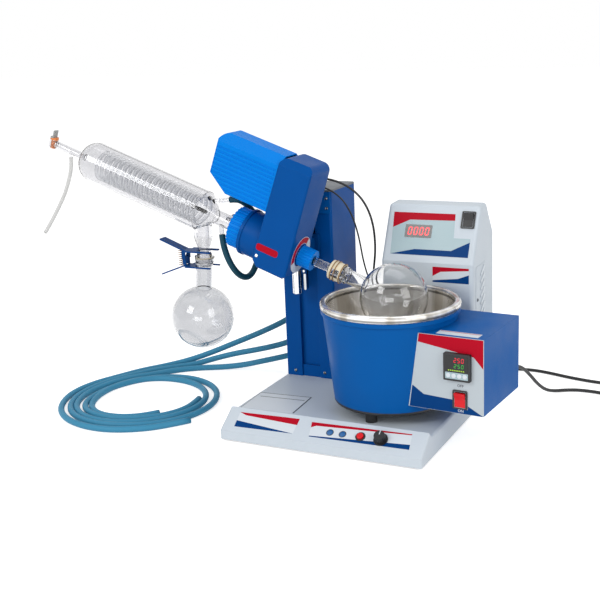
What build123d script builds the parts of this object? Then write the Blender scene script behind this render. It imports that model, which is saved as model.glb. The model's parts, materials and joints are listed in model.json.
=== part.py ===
"""Bench rotary evaporator with a lifting head, glassware, a heated bath and a control tower.

Millimetres. The bench is Z = 0 and the origin is on it under the middle of the base.
X runs to the right along the base's front edge, Y to the back and Z up.
"""
import os
from math import atan2, cos, degrees, hypot, pi, radians, sin, sqrt, tan

from build123d import *

os.makedirs("parts", exist_ok=True)

# Fits
CLEAR = 0.3            # gap between pieces that move past each other or are laid in a recess
RUN_FIT = 0.05         # radial clearance of a turning shaft or pin in its bore

# Base moulding
FOOT_HEIGHT = 4.0
FOOT_RADIUS = 14.0
FOOT_INSET = 36.0      # foot centre from the base's edges
BASE_WIDTH = 410.0
BASE_DEPTH = 460.0
BASE_HEIGHT = 41.0     # top deck above the bottom edge
BASE_WALL = 3.0
BASE_EDGE = 5.0        # rounding of the two ends
BASE_LIP = 18.0        # upright front lip below the sloped console
CONSOLE_RISE = 32.0    # height the console climbs
CONSOLE_RUN = 48.0     # depth it climbs over
CONSOLE_BACK = 9.0     # run of the short slope behind its crest
PLATE_SHEET = 2.0      # bottom plate

# Console controls
KNOB_INSET = 86.0      # knob from the base's right edge
KNOB_RADIUS = 11.0
KNOB_HEIGHT = 15.0
KNOB_SKIRT = 2.5
KNOB_FLUTES = 18
POT_SHAFT = 3.0        # radius of the potentiometer's shaft
POT_BODY = 18.0
BUTTON_GAP = 40.0      # button to the left of the knob
BUTTON_RADIUS = 6.5
BUTTON_PROUD = 5.0
BUTTON_TRAVEL = 2.0
BOARD_LENGTH = 90.0
BOARD_WIDTH = 26.0
BOARD_THICK = 1.6
BOARD_DROP = 13.0      # board's face below the console's outer face

# Lift column
COLUMN_WIDTH = 116.0
COLUMN_DEPTH = 122.0
COLUMN_HEIGHT = 400.0
COLUMN_WALL = 3.0
COLUMN_EDGE = 5.0
COLUMN_INSET = 2.0     # column's left face from the base's left edge
COLUMN_REAR = 52.5     # column's back from the base's back edge
SLOT_WIDTH = 42.0
SILL_HEIGHT = 25.0     # plate across the foot of the slot
CHANNEL_DEPTH = 9.0    # recess that closes the slot below the carriage
CHANNEL_WALL = 2.0
CHANNEL_GAP = 5.0      # channel's top below the carriage
CAP_THICK = 4.0
ROD_RADIUS = 6.0
ROD_SPREAD = 30.0      # rod from the column's middle
ROD_BACK = 30.0        # rod behind the column's front face
STOP_SHEET = 2.0
STOP_HEIGHT = 44.0
STOP_TOP = 4.0         # stop plate's top edge below the column's top
STOP_SIDE = 1.0        # stop plate's ends from the column's sides

# Lift carriage and its grip
LIFT_TRAVEL = 80.0
CARRIAGE_DROP = 5.0    # carriage's middle below the point where the drive axis leaves the head
CARRIAGE_GAP = 3.0     # plate's back from the column's face
CARRIAGE_PLATE = 6.5
CARRIAGE_HALF = 32.0   # half width of the front plate
CARRIAGE_HEIGHT = 60.0
CARRIAGE_BLOCK = 46.0  # half width of the block inside the column
NECK_HALF = 18.0
NECK_HEIGHT = 22.0
BLOCK_DEPTH = 40.0
BLOCK_START = 6.0      # block's front behind the column's face
BRACKET_DEPTH = 44.0
BRACKET_WIDTH = 46.0
BRACKET_HEIGHT = 48.0
SHELF_DEPTH = 32.0
SHELF_THICK = 6.0
GRIP_RADIUS = 10.5
GRIP_LENGTH = 56.0
GRIP_SIDE = -12.0      # grip from the column's middle
GRIP_OUT = 20.5        # grip's axis in front of the plate's back
TRIGGER_SIDE = 7.5     # trigger from the column's middle
TRIGGER_THICK = 5.0
TRIGGER_WIDTH = 11.0
TRIGGER_LENGTH = 44.0
TRIGGER_PIN = 2.5
EAR_THICK = 4.0
EAR_SIZE = 11.0

# Drive head
TILT = 20.0            # drive axis below the level, towards the flask
HEAD_RISE = 284.0      # axis above the deck where it leaves the head's flask side
HEAD_SHIFT = 31.0      # that point to the right of the column's middle
HEAD_FRONT = 50.0      # head's front face before the drive axis
HEAD_REAR = 35.0       # its back cover behind the axis
HEAD_LENGTH = 78.0
HEAD_TOP = 183.0
HEAD_LEAN = 7.0        # flask side leans back by this at its top
HEAD_ROOF = 14.0       # slope along the top's front edge
HEAD_BOTTOM = 44.0
HEAD_WALL = 4.0
HEAD_CORNER = 15.0
HEAD_CHAMFER = 12.0
HEAD_EDGE = 5.0
COVER_THICK = 4.0
MOTOR_GLAND = (-40.0, 136.0)   # cable glands on the back cover, along the axis and up the head
SIGNAL_GLAND = (-41.0, 119.0)
MOTOR_RISE = 115.0     # motor axis above the drive axis
MOTOR_RADIUS = 34.0
MOTOR_FLANGE = 39.0
MOTOR_LENGTH = 96.0
MOTOR_FLANGE_THICK = 6.0
MOTOR_SHAFT = 5.0
MOTOR_BORE_DEPTH = 22.0
SHROUD_LENGTH = 140.0
SHROUD_LOW = 68.0
SHROUD_HIGH = 181.0
SHROUD_DEPTH = 93.0
SHROUD_ROOF_RUN = 24.0  # slopes along both sides of the cover's top
SHROUD_ROOF_RISE = 16.0
SHROUD_WALL = 2.5
SHROUD_CORNER = 14.0
SHROUD_EDGE = 5.0
SHROUD_CUT_RUN = 44.0
SHROUD_CUT_RISE = 30.0
RIB_COUNT = 10
RIB_PITCH = 8.6
RIB_GAP = 4.2
RIB_DEPTH = 1.4
RIB_FIRST = 77.0       # lowest groove above the drive axis
RIB_MARGIN = 3.0

# Hollow drive hub, its bearings and the belt
HUB_RADIUS = 16.0
HUB_BORE = 9.8
HUB_NOSE = 26.5
HUB_TAIL = 2.0
BEARING_RADIUS = 26.0
BEARING_WIDTH = 12.0
BOSS_WALL = 4.0
HUB_SHOULDER = 18.5
PULLEY_RADIUS = 27.5
PULLEY_FLANGE = 3.0
FLANGE_THICK = 2.0
MOTOR_PULLEY = 10.0
BELT_WIDTH = 12.0
BELT_THICK = 2.5
BELT_PLANE = -42.0
WALL_HOLE = 17.0

# Condenser collar, seal and union nut
COLLAR_RADIUS = 46.0
COLLAR_RIM = 48.0
COLLAR_LENGTH = 44.0
COLLAR_RIM_WIDTH = 6.0
COLLAR_BORE = 24.0
NOSE_RADIUS = 35.0
NOSE_LENGTH = 24.0
SEAT_DEPTH = 7.0
SEAT_RADIUS = 30.5
SEAL_WIDTH = 15.0
NUT_RADIUS = 42.0
NUT_WALL = 4.2
NUT_GROOVES = 28
NUT_GROOVE = 2.2
NUT_EDGE = 1.5

# Vapour tube, flask nut and evaporating flask
TUBE_RADIUS = 9.5
TUBE_WALL = 1.8
TUBE_START = -158.0
FLASK_NUT_RADIUS = 21.0
FLASK_NUT_LENGTH = 29.0
FLASK_NUT_WALL = 3.0
FLASK_NUT_GROOVES = 22
JOINT_START = 68.0
JOINT_LENGTH = 36.0
JOINT_BIG = 14.3
JOINT_SMALL = 12.9
SOCKET_RADIUS = 17.0
FLASK_NECK = 14.0
FLASK_REACH = 207.0    # flask's centre along the axis
FLASK_RADIUS = 65.5
GLASS = 2.5
CLIP_WALL = 2.0
CLIP_LENGTH = 26.0
CLIP_OPEN = 18.0

# Condenser
JACKET_RADIUS = 42.0
JACKET_RIGHT = -232.0
JACKET_LEFT = -507.0
SHOULDER_END = -200.0
NECK_RADIUS = 15.0
DOME_LENGTH = 33.0
INLET_RADIUS = 7.5
INLET_WALL = 2.0
INLET_END = -616.0
NIPPLE_RADIUS = 3.0
NIPPLE_PLACE = -578.0
NIPPLE_DROP = 14.0
BARREL_RADIUS = 10.0
BARREL_PLACE = -624.0
BARREL_HALF = 8.0
KEY_RADIUS = 6.0
KEY_HEAD = 9.0
KEY_HEAD_THICK = 5.0
KEY_TAIL = 3.0
KEY_HANDLE = 15.0
KEY_HANDLE_THICK = 4.0
COIL_RADIUS = 29.0
COIL_TUBE = 4.5
COIL_START = -494.0
PORT_RADIUS = 5.0
PORT_BORE = 3.0

# Outlet, ball joint, its clamp and the receiving flask
OUTLET_X = -223.0      # outlet's axis from the point where the drive axis leaves the head
OUTLET_RADIUS = 19.0
OUTLET_NECK = 13.5
OUTLET_BORE = 11.0
OUTLET_TOP = 66.0      # above the level of that point
OUTLET_TAPER_TOP = 24.0
OUTLET_TAPER_LOW = 6.0
BALL_DROP = 18.0       # ball's centre below that level
BALL_RADIUS = 17.5
BALL_CUT = 11.0
CUP_RADIUS = 20.5
CUP_RIM = 2.0
RECEIVER_LEAN = 6.0
RECEIVER_DROP = 128.0  # flask's centre below the ball's centre
RECEIVER_NECK = 17.5
RECEIVER_RADIUS = 65.5
JAW_SHEET = 3.0
JAW_HALF = 21.0
JAW_REACH = 24.0
HANDLE_HALF = 11.0
JAW_UP = 12.5          # upper jaw's underside above the ball's centre
JAW_DOWN = 17.0        # lower jaw's top below the ball's centre
PIVOT_REACH = 45.0     # clamp pivot from the outlet's axis
HANDLE_REACH = 56.0
HANDLE_SPLAY = 21.0
CLAMP_PIN = 2.0
CLAMP_EAR = 2.5

# Heated bath
BATH_TURN = -4.5       # bath set down slightly askew
BATH_OFFSET = 0.8      # bath's middle from the flask's, along X
BATH_FORWARD = 22.0    # bath's axis in front of the flask's
BATH_FOOT = 20.4
BATH_FOOT_RADIUS = 11.0
BATH_FOOT_RING = 88.0
BATH_PLATE = 6.0
RIM_DROP = 82.9        # bucket's top edge below the point where the drive axis leaves the head
BUCKET_LOW = 111.0
BUCKET_HIGH = 129.4
BUCKET_WALL = 2.0
BEAD_HEIGHT = 8.0
BEAD_PROUD = 2.5
RIM_RADIUS = 133.6
RIM_HEIGHT = 14.4
RIM_EDGE = 5.0
BOWL_RADIUS = 121.5
BOWL_LOW = 109.0
BOWL_LIFT = 47.1       # bowl's floor above the bucket's bottom edge
BOWL_WALL = 2.0
BOWL_CORNER = 16.0
HEATER_RADIUS = 86.0
HEATER_HOLE = 9.0
HEATER_THICK = 8.0
SENSOR_RADIUS = 5.0
SENSOR_LENGTH = 22.0

# Bath control box
BOX_WIDTH = 90.9       # right side beyond the bucket's widest
BOX_FRONT = -82.0
BOX_BACK = 93.9
BOX_LOW = 41.2         # above the deck
BOX_SHARE = 0.8065     # box's height over the bucket's
BOX_WALL = 2.0
BOX_PANEL = 2.0
CONTROLLER_INSET = 47.4  # controller's middle from the box's right side
CONTROLLER_SHARE = 0.6238  # its height over the box's
CONTROLLER_BEZEL = 50.4
CONTROLLER_BODY = 45.0
CONTROLLER_PROUD = 8.0
CONTROLLER_DEPTH = 58.0
SWITCH_INSET = 43.9    # switch from the box's right side
SWITCH_SHARE = 0.1895  # its height over the box's
LEAD_INSET = 24.3      # lead's gland from the box's right side
LEAD_RISE = 24.0       # above the box's floor

# Rocker switches
ROCKER_WIDTH = 20.0
ROCKER_HALF = 13.5
ROCKER_PROUD = 4.5
ROCKER_DIP = 2.0
ROCKER_TAIL = 4.0
ROCKER_SWING = 18.0
ROCKER_FRAME = 3.5
ROCKER_FRAME_PROUD = 2.0

# Control tower
TOWER_WIDTH = 192.0
TOWER_DEPTH = 143.0
TOWER_INSET = 5.0
TOWER_FACE = 257.0     # upright front above the deck
TOWER_HEIGHT = 366.0
SLOPE_RISE = 107.0
SLOPE_RUN = 52.0
TOWER_CREST = 41.0
TOWER_BACK_DROP = 64.0
TOWER_BACK_RUN = 45.0
TOWER_WALL = 3.0
TOWER_EDGE = 8.0
DISPLAY_WIDTH = 56.0
DISPLAY_HEIGHT = 27.0
DISPLAY_X = -25.0      # from the tower's middle
DISPLAY_UP = 4.0       # up the slope from its middle
DISPLAY_DEPTH = 14.0
TOWER_SWITCH_X = 75.0
TOWER_SWITCH_UP = 31.0
VENT_COUNT = 9
VENT_PITCH = 15.0
VENT_LENGTH = 26.0
VENT_WIDTH = 4.0
VENT_SLANT = 35.0
VENT_BACK = 38.0       # vent row behind the tower's front
VENT_TOP = 235.0       # its top above the deck
ENTRY_BACK = 33.0      # cable glands on the left side, behind the tower's front
MOTOR_ENTRY_RISE = 191.0
SIGNAL_ENTRY_RISE = 169.0
TOWER_LEAD_X = 74.0    # mains lead's gland on the back, from the tower's middle
TOWER_LEAD_RISE = 26.0

# Cords
HOSE = 13.0
FEED_HOSE = 8.0
MOTOR_CABLE = 4.4
SIGNAL_CABLE = 3.4
MAINS_LEAD = 7.0
GLAND_RADIUS = 7.0
GLAND_LENGTH = 22.0
CABLE_GLAND = 8.0
CORNER_SHARE = 0.45    # part of the shorter run that each bend takes up
HOSE_RING = (-474.5, -108.5)
HOSE_RING_RADIUS = 134.0
HOSE_RING_WIDTH = 100.0
HOSE_RING_HEIGHT = 14.0
LEAD_COIL_RADIUS = 41.7
LEAD_COIL_WIDTH = 14.6
LEAD_COIL_HEIGHT = 29.0
BATH_COIL = (520.0, 215.0)
TOWER_COIL = (496.0, 370.0)
PLUG_LENGTH = 46.0
PLUG_WIDTH = 40.0
PLUG_HEIGHT = 30.0
PIN_RADIUS = 2.4
PIN_LENGTH = 19.0
PIN_PITCH = 19.0
TAIL_START = 14.0      # plug's tail from the coil's middle, along the lead
TAIL_LENGTH = 48.0
TAIL_RADIUS = 6.5
TAIL_TAPER = 3.0

# Places worked out from the sizes
BASE_Z = FOOT_HEIGHT
DECK = BASE_Z + BASE_HEIGHT
BASE_FRONT = -BASE_DEPTH / 2
KNOB_X = BASE_WIDTH / 2 - KNOB_INSET
BUTTON_X = KNOB_X - BUTTON_GAP
COLUMN_X = -BASE_WIDTH / 2 + COLUMN_INSET + COLUMN_WIDTH / 2
COLUMN_FRONT = BASE_DEPTH / 2 - COLUMN_REAR - COLUMN_DEPTH
COLUMN_TOP = DECK + COLUMN_HEIGHT
PLATE_BACK = COLUMN_FRONT - CARRIAGE_GAP
PLATE_FRONT = PLATE_BACK - CARRIAGE_PLATE
HEAD_BACK = PLATE_FRONT - BRACKET_DEPTH
AXIS_X = COLUMN_X + HEAD_SHIFT
AXIS_Y = HEAD_BACK - HEAD_REAR
AXIS_Z = DECK + HEAD_RISE
CARRIAGE_Z = AXIS_Z - CARRIAGE_DROP
CARRIAGE_LOW = CARRIAGE_Z - CARRIAGE_HEIGHT / 2
SHELF_LOW = CARRIAGE_LOW - SHELF_THICK
BATH_X = AXIS_X + FLASK_REACH * cos(radians(TILT)) + BATH_OFFSET
BATH_Y = AXIS_Y - BATH_FORWARD
BUCKET_Z = DECK + BATH_FOOT + BATH_PLATE
RIM_Z = AXIS_Z - RIM_DROP
BUCKET_HEIGHT = RIM_Z - BUCKET_Z
BOWL_FLOOR = BUCKET_Z + BOWL_LIFT
BOX_Z = DECK + BOX_LOW
BOX_REACH = BUCKET_HIGH + BOX_WIDTH
BOX_HEIGHT = BOX_SHARE * BUCKET_HEIGHT
CONTROLLER_X = BOX_REACH - CONTROLLER_INSET
CONTROLLER_RISE = CONTROLLER_SHARE * BOX_HEIGHT
BOX_SWITCH_X = BOX_REACH - SWITCH_INSET
BOX_SWITCH_RISE = SWITCH_SHARE * BOX_HEIGHT
TOWER_X = BASE_WIDTH / 2 - TOWER_INSET - TOWER_WIDTH / 2
TOWER_FRONT = BASE_DEPTH / 2 - TOWER_INSET - TOWER_DEPTH
TOWER_LEFT = TOWER_X - TOWER_WIDTH / 2
TOWER_TOP = DECK + TOWER_HEIGHT
TOWER_BACK = TOWER_FRONT + TOWER_DEPTH
ENTRY_Y = TOWER_FRONT + ENTRY_BACK
MOTOR_ENTRY_Z = DECK + MOTOR_ENTRY_RISE
SIGNAL_ENTRY_Z = DECK + SIGNAL_ENTRY_RISE

# Directions and work planes
ALONG = Vector(cos(radians(TILT)), 0, -sin(radians(TILT)))   # down the drive axis to the flask
RISE = Vector(sin(radians(TILT)), 0, cos(radians(TILT)))     # up the head, square to the axis
BACK = Vector(0, 1, 0)
HEAD_ORIGIN = Vector(AXIS_X, AXIS_Y, AXIS_Z)
DRIVE = Plane(origin=HEAD_ORIGIN, x_dir=BACK, z_dir=ALONG)
SIDE = Plane(origin=HEAD_ORIGIN, x_dir=ALONG, z_dir=-BACK)
DRIVE_AXIS = Axis(HEAD_ORIGIN, ALONG)
MOTOR_ORIGIN = HEAD_ORIGIN + RISE * MOTOR_RISE
MOTOR = Plane(origin=MOTOR_ORIGIN, x_dir=BACK, z_dir=ALONG)
CONSOLE_TILT = degrees(atan2(CONSOLE_RISE, CONSOLE_RUN))
CONSOLE = Plane(
    origin=(0, BASE_FRONT + CONSOLE_RUN / 2, BASE_Z + BASE_LIP + CONSOLE_RISE / 2),
    x_dir=(1, 0, 0),
    z_dir=(0, -sin(radians(CONSOLE_TILT)), cos(radians(CONSOLE_TILT))),
)
BATH = Plane(
    origin=(BATH_X, BATH_Y, 0),
    x_dir=(cos(radians(BATH_TURN)), sin(radians(BATH_TURN)), 0),
    z_dir=(0, 0, 1),
)
BATH_SECTION = Plane(origin=(BATH_X, BATH_Y, 0), x_dir=(1, 0, 0), z_dir=(0, -1, 0))
BATH_AXIS = Axis((BATH_X, BATH_Y, 0), (0, 0, 1))
BOX_FACE = Plane(origin=BATH.from_local_coords(Vector(0, BOX_FRONT, BOX_Z)), x_dir=BATH.x_dir, z_dir=-BATH.y_dir)
SLOPE_LENGTH = hypot(SLOPE_RISE, SLOPE_RUN)
SLOPE = Plane(
    origin=(TOWER_X, TOWER_FRONT + SLOPE_RUN / 2, DECK + TOWER_FACE + SLOPE_RISE / 2),
    x_dir=(1, 0, 0),
    z_dir=(0, -SLOPE_RISE / SLOPE_LENGTH, SLOPE_RUN / SLOPE_LENGTH),
)
OUTLET = Vector(AXIS_X + OUTLET_X, AXIS_Y, AXIS_Z)
BALL = OUTLET - Vector(0, 0, BALL_DROP)
OUTLET_SECTION = Plane(origin=OUTLET, x_dir=(1, 0, 0), z_dir=(0, -1, 0))
LEAN = Vector(sin(radians(RECEIVER_LEAN)), 0, cos(radians(RECEIVER_LEAN)))
RECEIVER_SECTION = Plane(origin=BALL, x_dir=(LEAN.Z, 0, -LEAN.X), z_dir=(0, -1, 0))


def head_point(along, rise, back=0.0):
    """World place of a point given along the drive axis, up the head and to the back."""
    return HEAD_ORIGIN + ALONG * along + RISE * rise + BACK * back


def front_plane(y):
    """Upright plane at depth y that faces the viewer, with X to the right and Z up."""
    return Plane(origin=(0, y, 0), x_dir=(1, 0, 0), z_dir=(0, -1, 0))


def keep(builder, name):
    """Label a finished piece and write it as its own file."""
    builder.part.label = name
    export_step(builder.part, f"parts/{name}.step")


def block(low, high, mode=Mode.ADD):
    """Box between two corners, joined to or cut from the piece being made."""
    middle = [(a + b) / 2 for a, b in zip(low, high)]
    with Locations(Location(tuple(middle))):
        Box(*[b - a for a, b in zip(low, high)], mode=mode)


# Base moulding: a shallow tray upside down, with the sloped console along its front
with BuildSketch() as base_outline:
    with BuildLine():
        Polyline(
            (BASE_FRONT, BASE_Z),
            (BASE_FRONT, BASE_Z + BASE_LIP),
            (BASE_FRONT + CONSOLE_RUN, BASE_Z + BASE_LIP + CONSOLE_RISE),
            (BASE_FRONT + CONSOLE_RUN + CONSOLE_BACK, DECK),
            (-BASE_FRONT, DECK),
            (-BASE_FRONT, BASE_Z),
            close=True,
        )
    make_face()

with BuildPart() as base_housing:
    with BuildSketch(Plane.YZ):
        add(base_outline.sketch)
    extrude(amount=BASE_WIDTH / 2, both=True)
    ends = base_housing.faces().filter_by(Axis.X)
    fillet([e for e in ends.edges() if e.center().Z > BASE_Z + BASE_EDGE / 2], BASE_EDGE)
    with BuildSketch(Plane.YZ):
        add(base_outline.sketch)
        offset(amount=-BASE_WALL, kind=Kind.INTERSECTION)
    extrude(amount=BASE_WIDTH / 2 - BASE_WALL, both=True, mode=Mode.SUBTRACT)
    with BuildSketch(Plane.XY.offset(BASE_Z)):
        Rectangle(BASE_WIDTH - 2 * BASE_WALL, BASE_DEPTH - 2 * BASE_WALL)
    extrude(amount=BASE_WALL, mode=Mode.SUBTRACT)
    with BuildSketch(CONSOLE):
        with Locations((KNOB_X, 0)):
            Circle(POT_SHAFT + CLEAR)
        with Locations((BUTTON_X, 0)):
            Circle(BUTTON_RADIUS + CLEAR)
    extrude(amount=-BASE_WALL * 2, mode=Mode.SUBTRACT)
keep(base_housing, "base_housing")

with BuildPart() as base_bottom_plate:
    with BuildSketch(Plane.XY.offset(BASE_Z)):
        Rectangle(BASE_WIDTH - 2 * (BASE_WALL + CLEAR), BASE_DEPTH - 2 * (BASE_WALL + CLEAR))
    extrude(amount=PLATE_SHEET)
keep(base_bottom_plate, "base_bottom_plate")

with BuildPart() as rubber_feet:
    with BuildSketch():
        with GridLocations(BASE_WIDTH - 2 * FOOT_INSET, BASE_DEPTH - 2 * FOOT_INSET, 2, 2):
            Circle(FOOT_RADIUS)
        Circle(FOOT_RADIUS)
    extrude(amount=FOOT_HEIGHT)
    with BuildSketch(BATH.offset(DECK)):
        with PolarLocations(BATH_FOOT_RING, 3, start_angle=-90):
            Circle(BATH_FOOT_RADIUS)
    extrude(amount=BATH_FOOT)
keep(rubber_feet, "rubber_feet")

# Console controls
with BuildPart() as speed_control_board:
    with BuildSketch(CONSOLE.offset(-BOARD_DROP)):
        with Locations(((KNOB_X + BUTTON_X) / 2, 0)):
            Rectangle(BOARD_LENGTH, BOARD_WIDTH)
    extrude(amount=-BOARD_THICK)
    with BuildSketch(CONSOLE.offset(-BOARD_DROP)):
        with Locations((KNOB_X, 0)):
            Rectangle(POT_BODY, POT_BODY)
        with Locations((BUTTON_X, 0)):
            Circle(BUTTON_RADIUS - CLEAR)
    extrude(amount=BOARD_DROP - BASE_WALL - BUTTON_TRAVEL)
    with BuildSketch(CONSOLE.offset(-BASE_WALL - BUTTON_TRAVEL)):
        with Locations((KNOB_X, 0)):
            Circle(POT_SHAFT)
    extrude(amount=BASE_WALL + BUTTON_TRAVEL + KNOB_HEIGHT * 2 / 3)
keep(speed_control_board, "speed_control_board")

with BuildPart() as speed_knob:
    with BuildSketch(CONSOLE.offset(CLEAR)):
        with Locations((KNOB_X, 0)):
            Circle(KNOB_RADIUS + KNOB_SKIRT)
    extrude(amount=KNOB_SKIRT)
    with BuildSketch(CONSOLE.offset(CLEAR + KNOB_SKIRT)):
        with Locations((KNOB_X, 0)):
            Circle(KNOB_RADIUS)
            with PolarLocations(KNOB_RADIUS, KNOB_FLUTES):
                Circle(KNOB_RADIUS / KNOB_FLUTES, mode=Mode.SUBTRACT)
    extrude(amount=KNOB_HEIGHT - KNOB_SKIRT, taper=4)
    with BuildSketch(CONSOLE.offset(CLEAR)):
        with Locations((KNOB_X, 0)):
            Circle(POT_SHAFT + RUN_FIT)
    extrude(amount=KNOB_HEIGHT * 2 / 3, mode=Mode.SUBTRACT)
keep(speed_knob, "speed_knob")

with BuildPart() as start_button:
    with BuildSketch(CONSOLE.offset(-BASE_WALL + CLEAR)):
        with Locations((BUTTON_X, 0)):
            Circle(BUTTON_RADIUS)
    extrude(amount=BASE_WALL + BUTTON_PROUD)
    fillet(start_button.edges().sort_by(Axis.Z)[-1], BUTTON_RADIUS / 5)
keep(start_button, "start_button")

# Lift column: a folded sheet channel with a slot down its front
COLUMN_MIDDLE = (COLUMN_X, COLUMN_FRONT + COLUMN_DEPTH / 2)
SLOT_LEFT = COLUMN_X - SLOT_WIDTH / 2
SLOT_RIGHT = COLUMN_X + SLOT_WIDTH / 2
with BuildPart() as column_shell:
    with BuildSketch(Plane.XY.offset(DECK)):
        with Locations(COLUMN_MIDDLE):
            RectangleRounded(COLUMN_WIDTH, COLUMN_DEPTH, COLUMN_EDGE)
            RectangleRounded(
                COLUMN_WIDTH - 2 * COLUMN_WALL,
                COLUMN_DEPTH - 2 * COLUMN_WALL,
                COLUMN_EDGE - COLUMN_WALL,
                mode=Mode.SUBTRACT,
            )
    extrude(amount=COLUMN_HEIGHT - CAP_THICK)
    block(
        (SLOT_LEFT - CHANNEL_WALL, COLUMN_FRONT, DECK),
        (SLOT_RIGHT + CHANNEL_WALL, COLUMN_FRONT + CHANNEL_DEPTH + CHANNEL_WALL, CARRIAGE_LOW - CHANNEL_GAP),
    )
    block(
        (SLOT_LEFT, COLUMN_FRONT, DECK),
        (SLOT_RIGHT, COLUMN_FRONT + CHANNEL_DEPTH, CARRIAGE_LOW - CHANNEL_GAP),
        mode=Mode.SUBTRACT,
    )
    block(
        (SLOT_LEFT, COLUMN_FRONT, CARRIAGE_LOW - CHANNEL_GAP),
        (SLOT_RIGHT, COLUMN_FRONT + COLUMN_WALL, COLUMN_TOP - 2 * CAP_THICK),
        mode=Mode.SUBTRACT,
    )
    block(
        (SLOT_LEFT, COLUMN_FRONT + COLUMN_WALL, DECK),
        (SLOT_RIGHT, COLUMN_FRONT + CHANNEL_DEPTH, DECK + SILL_HEIGHT),
    )
keep(column_shell, "column_shell")

with BuildPart() as column_cap:
    with BuildSketch(Plane.XY.offset(COLUMN_TOP - CAP_THICK)):
        with Locations(COLUMN_MIDDLE):
            RectangleRounded(COLUMN_WIDTH, COLUMN_DEPTH, COLUMN_EDGE)
    extrude(amount=CAP_THICK)
    fillet(column_cap.faces().sort_by(Axis.Z)[-1].edges(), CAP_THICK / 2)
keep(column_cap, "column_cap")

with BuildPart() as guide_rods:
    with BuildSketch(Plane.XY.offset(DECK)):
        with Locations((COLUMN_X, COLUMN_FRONT + ROD_BACK)):
            with GridLocations(2 * ROD_SPREAD, 0, 2, 1):
                Circle(ROD_RADIUS)
    extrude(amount=COLUMN_HEIGHT - CAP_THICK)
keep(guide_rods, "guide_rods")

with BuildPart() as lift_stop:
    STOP_HALF = COLUMN_WIDTH / 2 - STOP_SIDE
    block(
        (COLUMN_X - STOP_HALF, COLUMN_FRONT - STOP_SHEET, COLUMN_TOP - STOP_TOP - STOP_HEIGHT),
        (COLUMN_X + STOP_HALF, COLUMN_FRONT, COLUMN_TOP - STOP_TOP),
    )
    fillet(lift_stop.edges().filter_by(Axis.Y), COLUMN_EDGE)
keep(lift_stop, "lift_stop")

# Lift carriage: plate in front of the slot, neck through it and block on the guide rods
GRIP_X = COLUMN_X + GRIP_SIDE
GRIP_Y = PLATE_BACK - GRIP_OUT
TRIGGER_X = COLUMN_X + TRIGGER_SIDE
TRIGGER_PIN_Z = SHELF_LOW - EAR_SIZE / 2
EAR_INNER = TRIGGER_WIDTH / 2 + CLEAR
with BuildPart() as lift_carriage:
    block(
        (COLUMN_X - CARRIAGE_HALF, PLATE_FRONT, SHELF_LOW),
        (COLUMN_X + CARRIAGE_HALF, PLATE_BACK, CARRIAGE_LOW + CARRIAGE_HEIGHT),
    )
    block(
        (COLUMN_X - NECK_HALF, PLATE_BACK, CARRIAGE_LOW),
        (COLUMN_X + NECK_HALF, COLUMN_FRONT + BLOCK_START, CARRIAGE_LOW + NECK_HEIGHT),
    )
    block(
        (COLUMN_X - CARRIAGE_BLOCK, COLUMN_FRONT + BLOCK_START, CARRIAGE_LOW),
        (COLUMN_X + CARRIAGE_BLOCK, COLUMN_FRONT + BLOCK_START + BLOCK_DEPTH, CARRIAGE_LOW + CARRIAGE_HEIGHT),
    )
    block(
        (GRIP_X - GRIP_RADIUS - EAR_THICK, PLATE_BACK - SHELF_DEPTH, SHELF_LOW),
        (TRIGGER_X + EAR_SIZE / 2, PLATE_BACK, CARRIAGE_LOW),
    )
    for side in (-1, 1):
        inner, outer = sorted((GRIP_Y + side * EAR_INNER, GRIP_Y + side * (EAR_INNER + EAR_THICK)))
        block(
            (TRIGGER_X - EAR_SIZE / 2, inner, SHELF_LOW - EAR_SIZE),
            (TRIGGER_X + EAR_SIZE / 2, outer, SHELF_LOW),
        )
    with BuildSketch(Plane.XY.offset(CARRIAGE_LOW)):
        with Locations((COLUMN_X, COLUMN_FRONT + ROD_BACK)):
            with GridLocations(2 * ROD_SPREAD, 0, 2, 1):
                Circle(ROD_RADIUS + RUN_FIT)
    extrude(amount=CARRIAGE_HEIGHT, mode=Mode.SUBTRACT)
    with BuildSketch(front_plane(GRIP_Y)):
        with Locations((TRIGGER_X, TRIGGER_PIN_Z)):
            Circle(TRIGGER_PIN + RUN_FIT)
    extrude(amount=EAR_INNER + EAR_THICK, both=True, mode=Mode.SUBTRACT)
keep(lift_carriage, "lift_carriage")

with BuildPart() as head_bracket:
    block(
        (COLUMN_X - BRACKET_WIDTH / 2, HEAD_BACK, CARRIAGE_Z - BRACKET_HEIGHT / 2),
        (COLUMN_X + BRACKET_WIDTH / 2, PLATE_FRONT, CARRIAGE_Z + BRACKET_HEIGHT / 2),
    )
    fillet(head_bracket.edges().filter_by(Axis.Y), COLUMN_EDGE)
keep(head_bracket, "head_bracket")

with BuildPart() as lift_grip:
    with BuildSketch(Plane.XY.offset(SHELF_LOW - GRIP_LENGTH)):
        with Locations((GRIP_X, GRIP_Y)):
            Circle(GRIP_RADIUS)
    extrude(amount=GRIP_LENGTH)
    fillet(lift_grip.edges().sort_by(Axis.Z)[0], GRIP_RADIUS / 4)
keep(lift_grip, "lift_grip")

with BuildPart() as release_trigger:
    block(
        (TRIGGER_X - TRIGGER_THICK / 2, GRIP_Y - TRIGGER_WIDTH / 2, TRIGGER_PIN_Z + EAR_THICK - TRIGGER_LENGTH),
        (TRIGGER_X + TRIGGER_THICK / 2, GRIP_Y + TRIGGER_WIDTH / 2, TRIGGER_PIN_Z + EAR_THICK),
    )
    fillet(release_trigger.edges().group_by(Axis.Z)[0].filter_by(Axis.Y), TRIGGER_THICK / 3)
    with BuildSketch(front_plane(GRIP_Y)):
        with Locations((TRIGGER_X, TRIGGER_PIN_Z)):
            Circle(TRIGGER_PIN)
    extrude(amount=EAR_INNER + EAR_THICK, both=True)
keep(release_trigger, "release_trigger")

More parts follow.
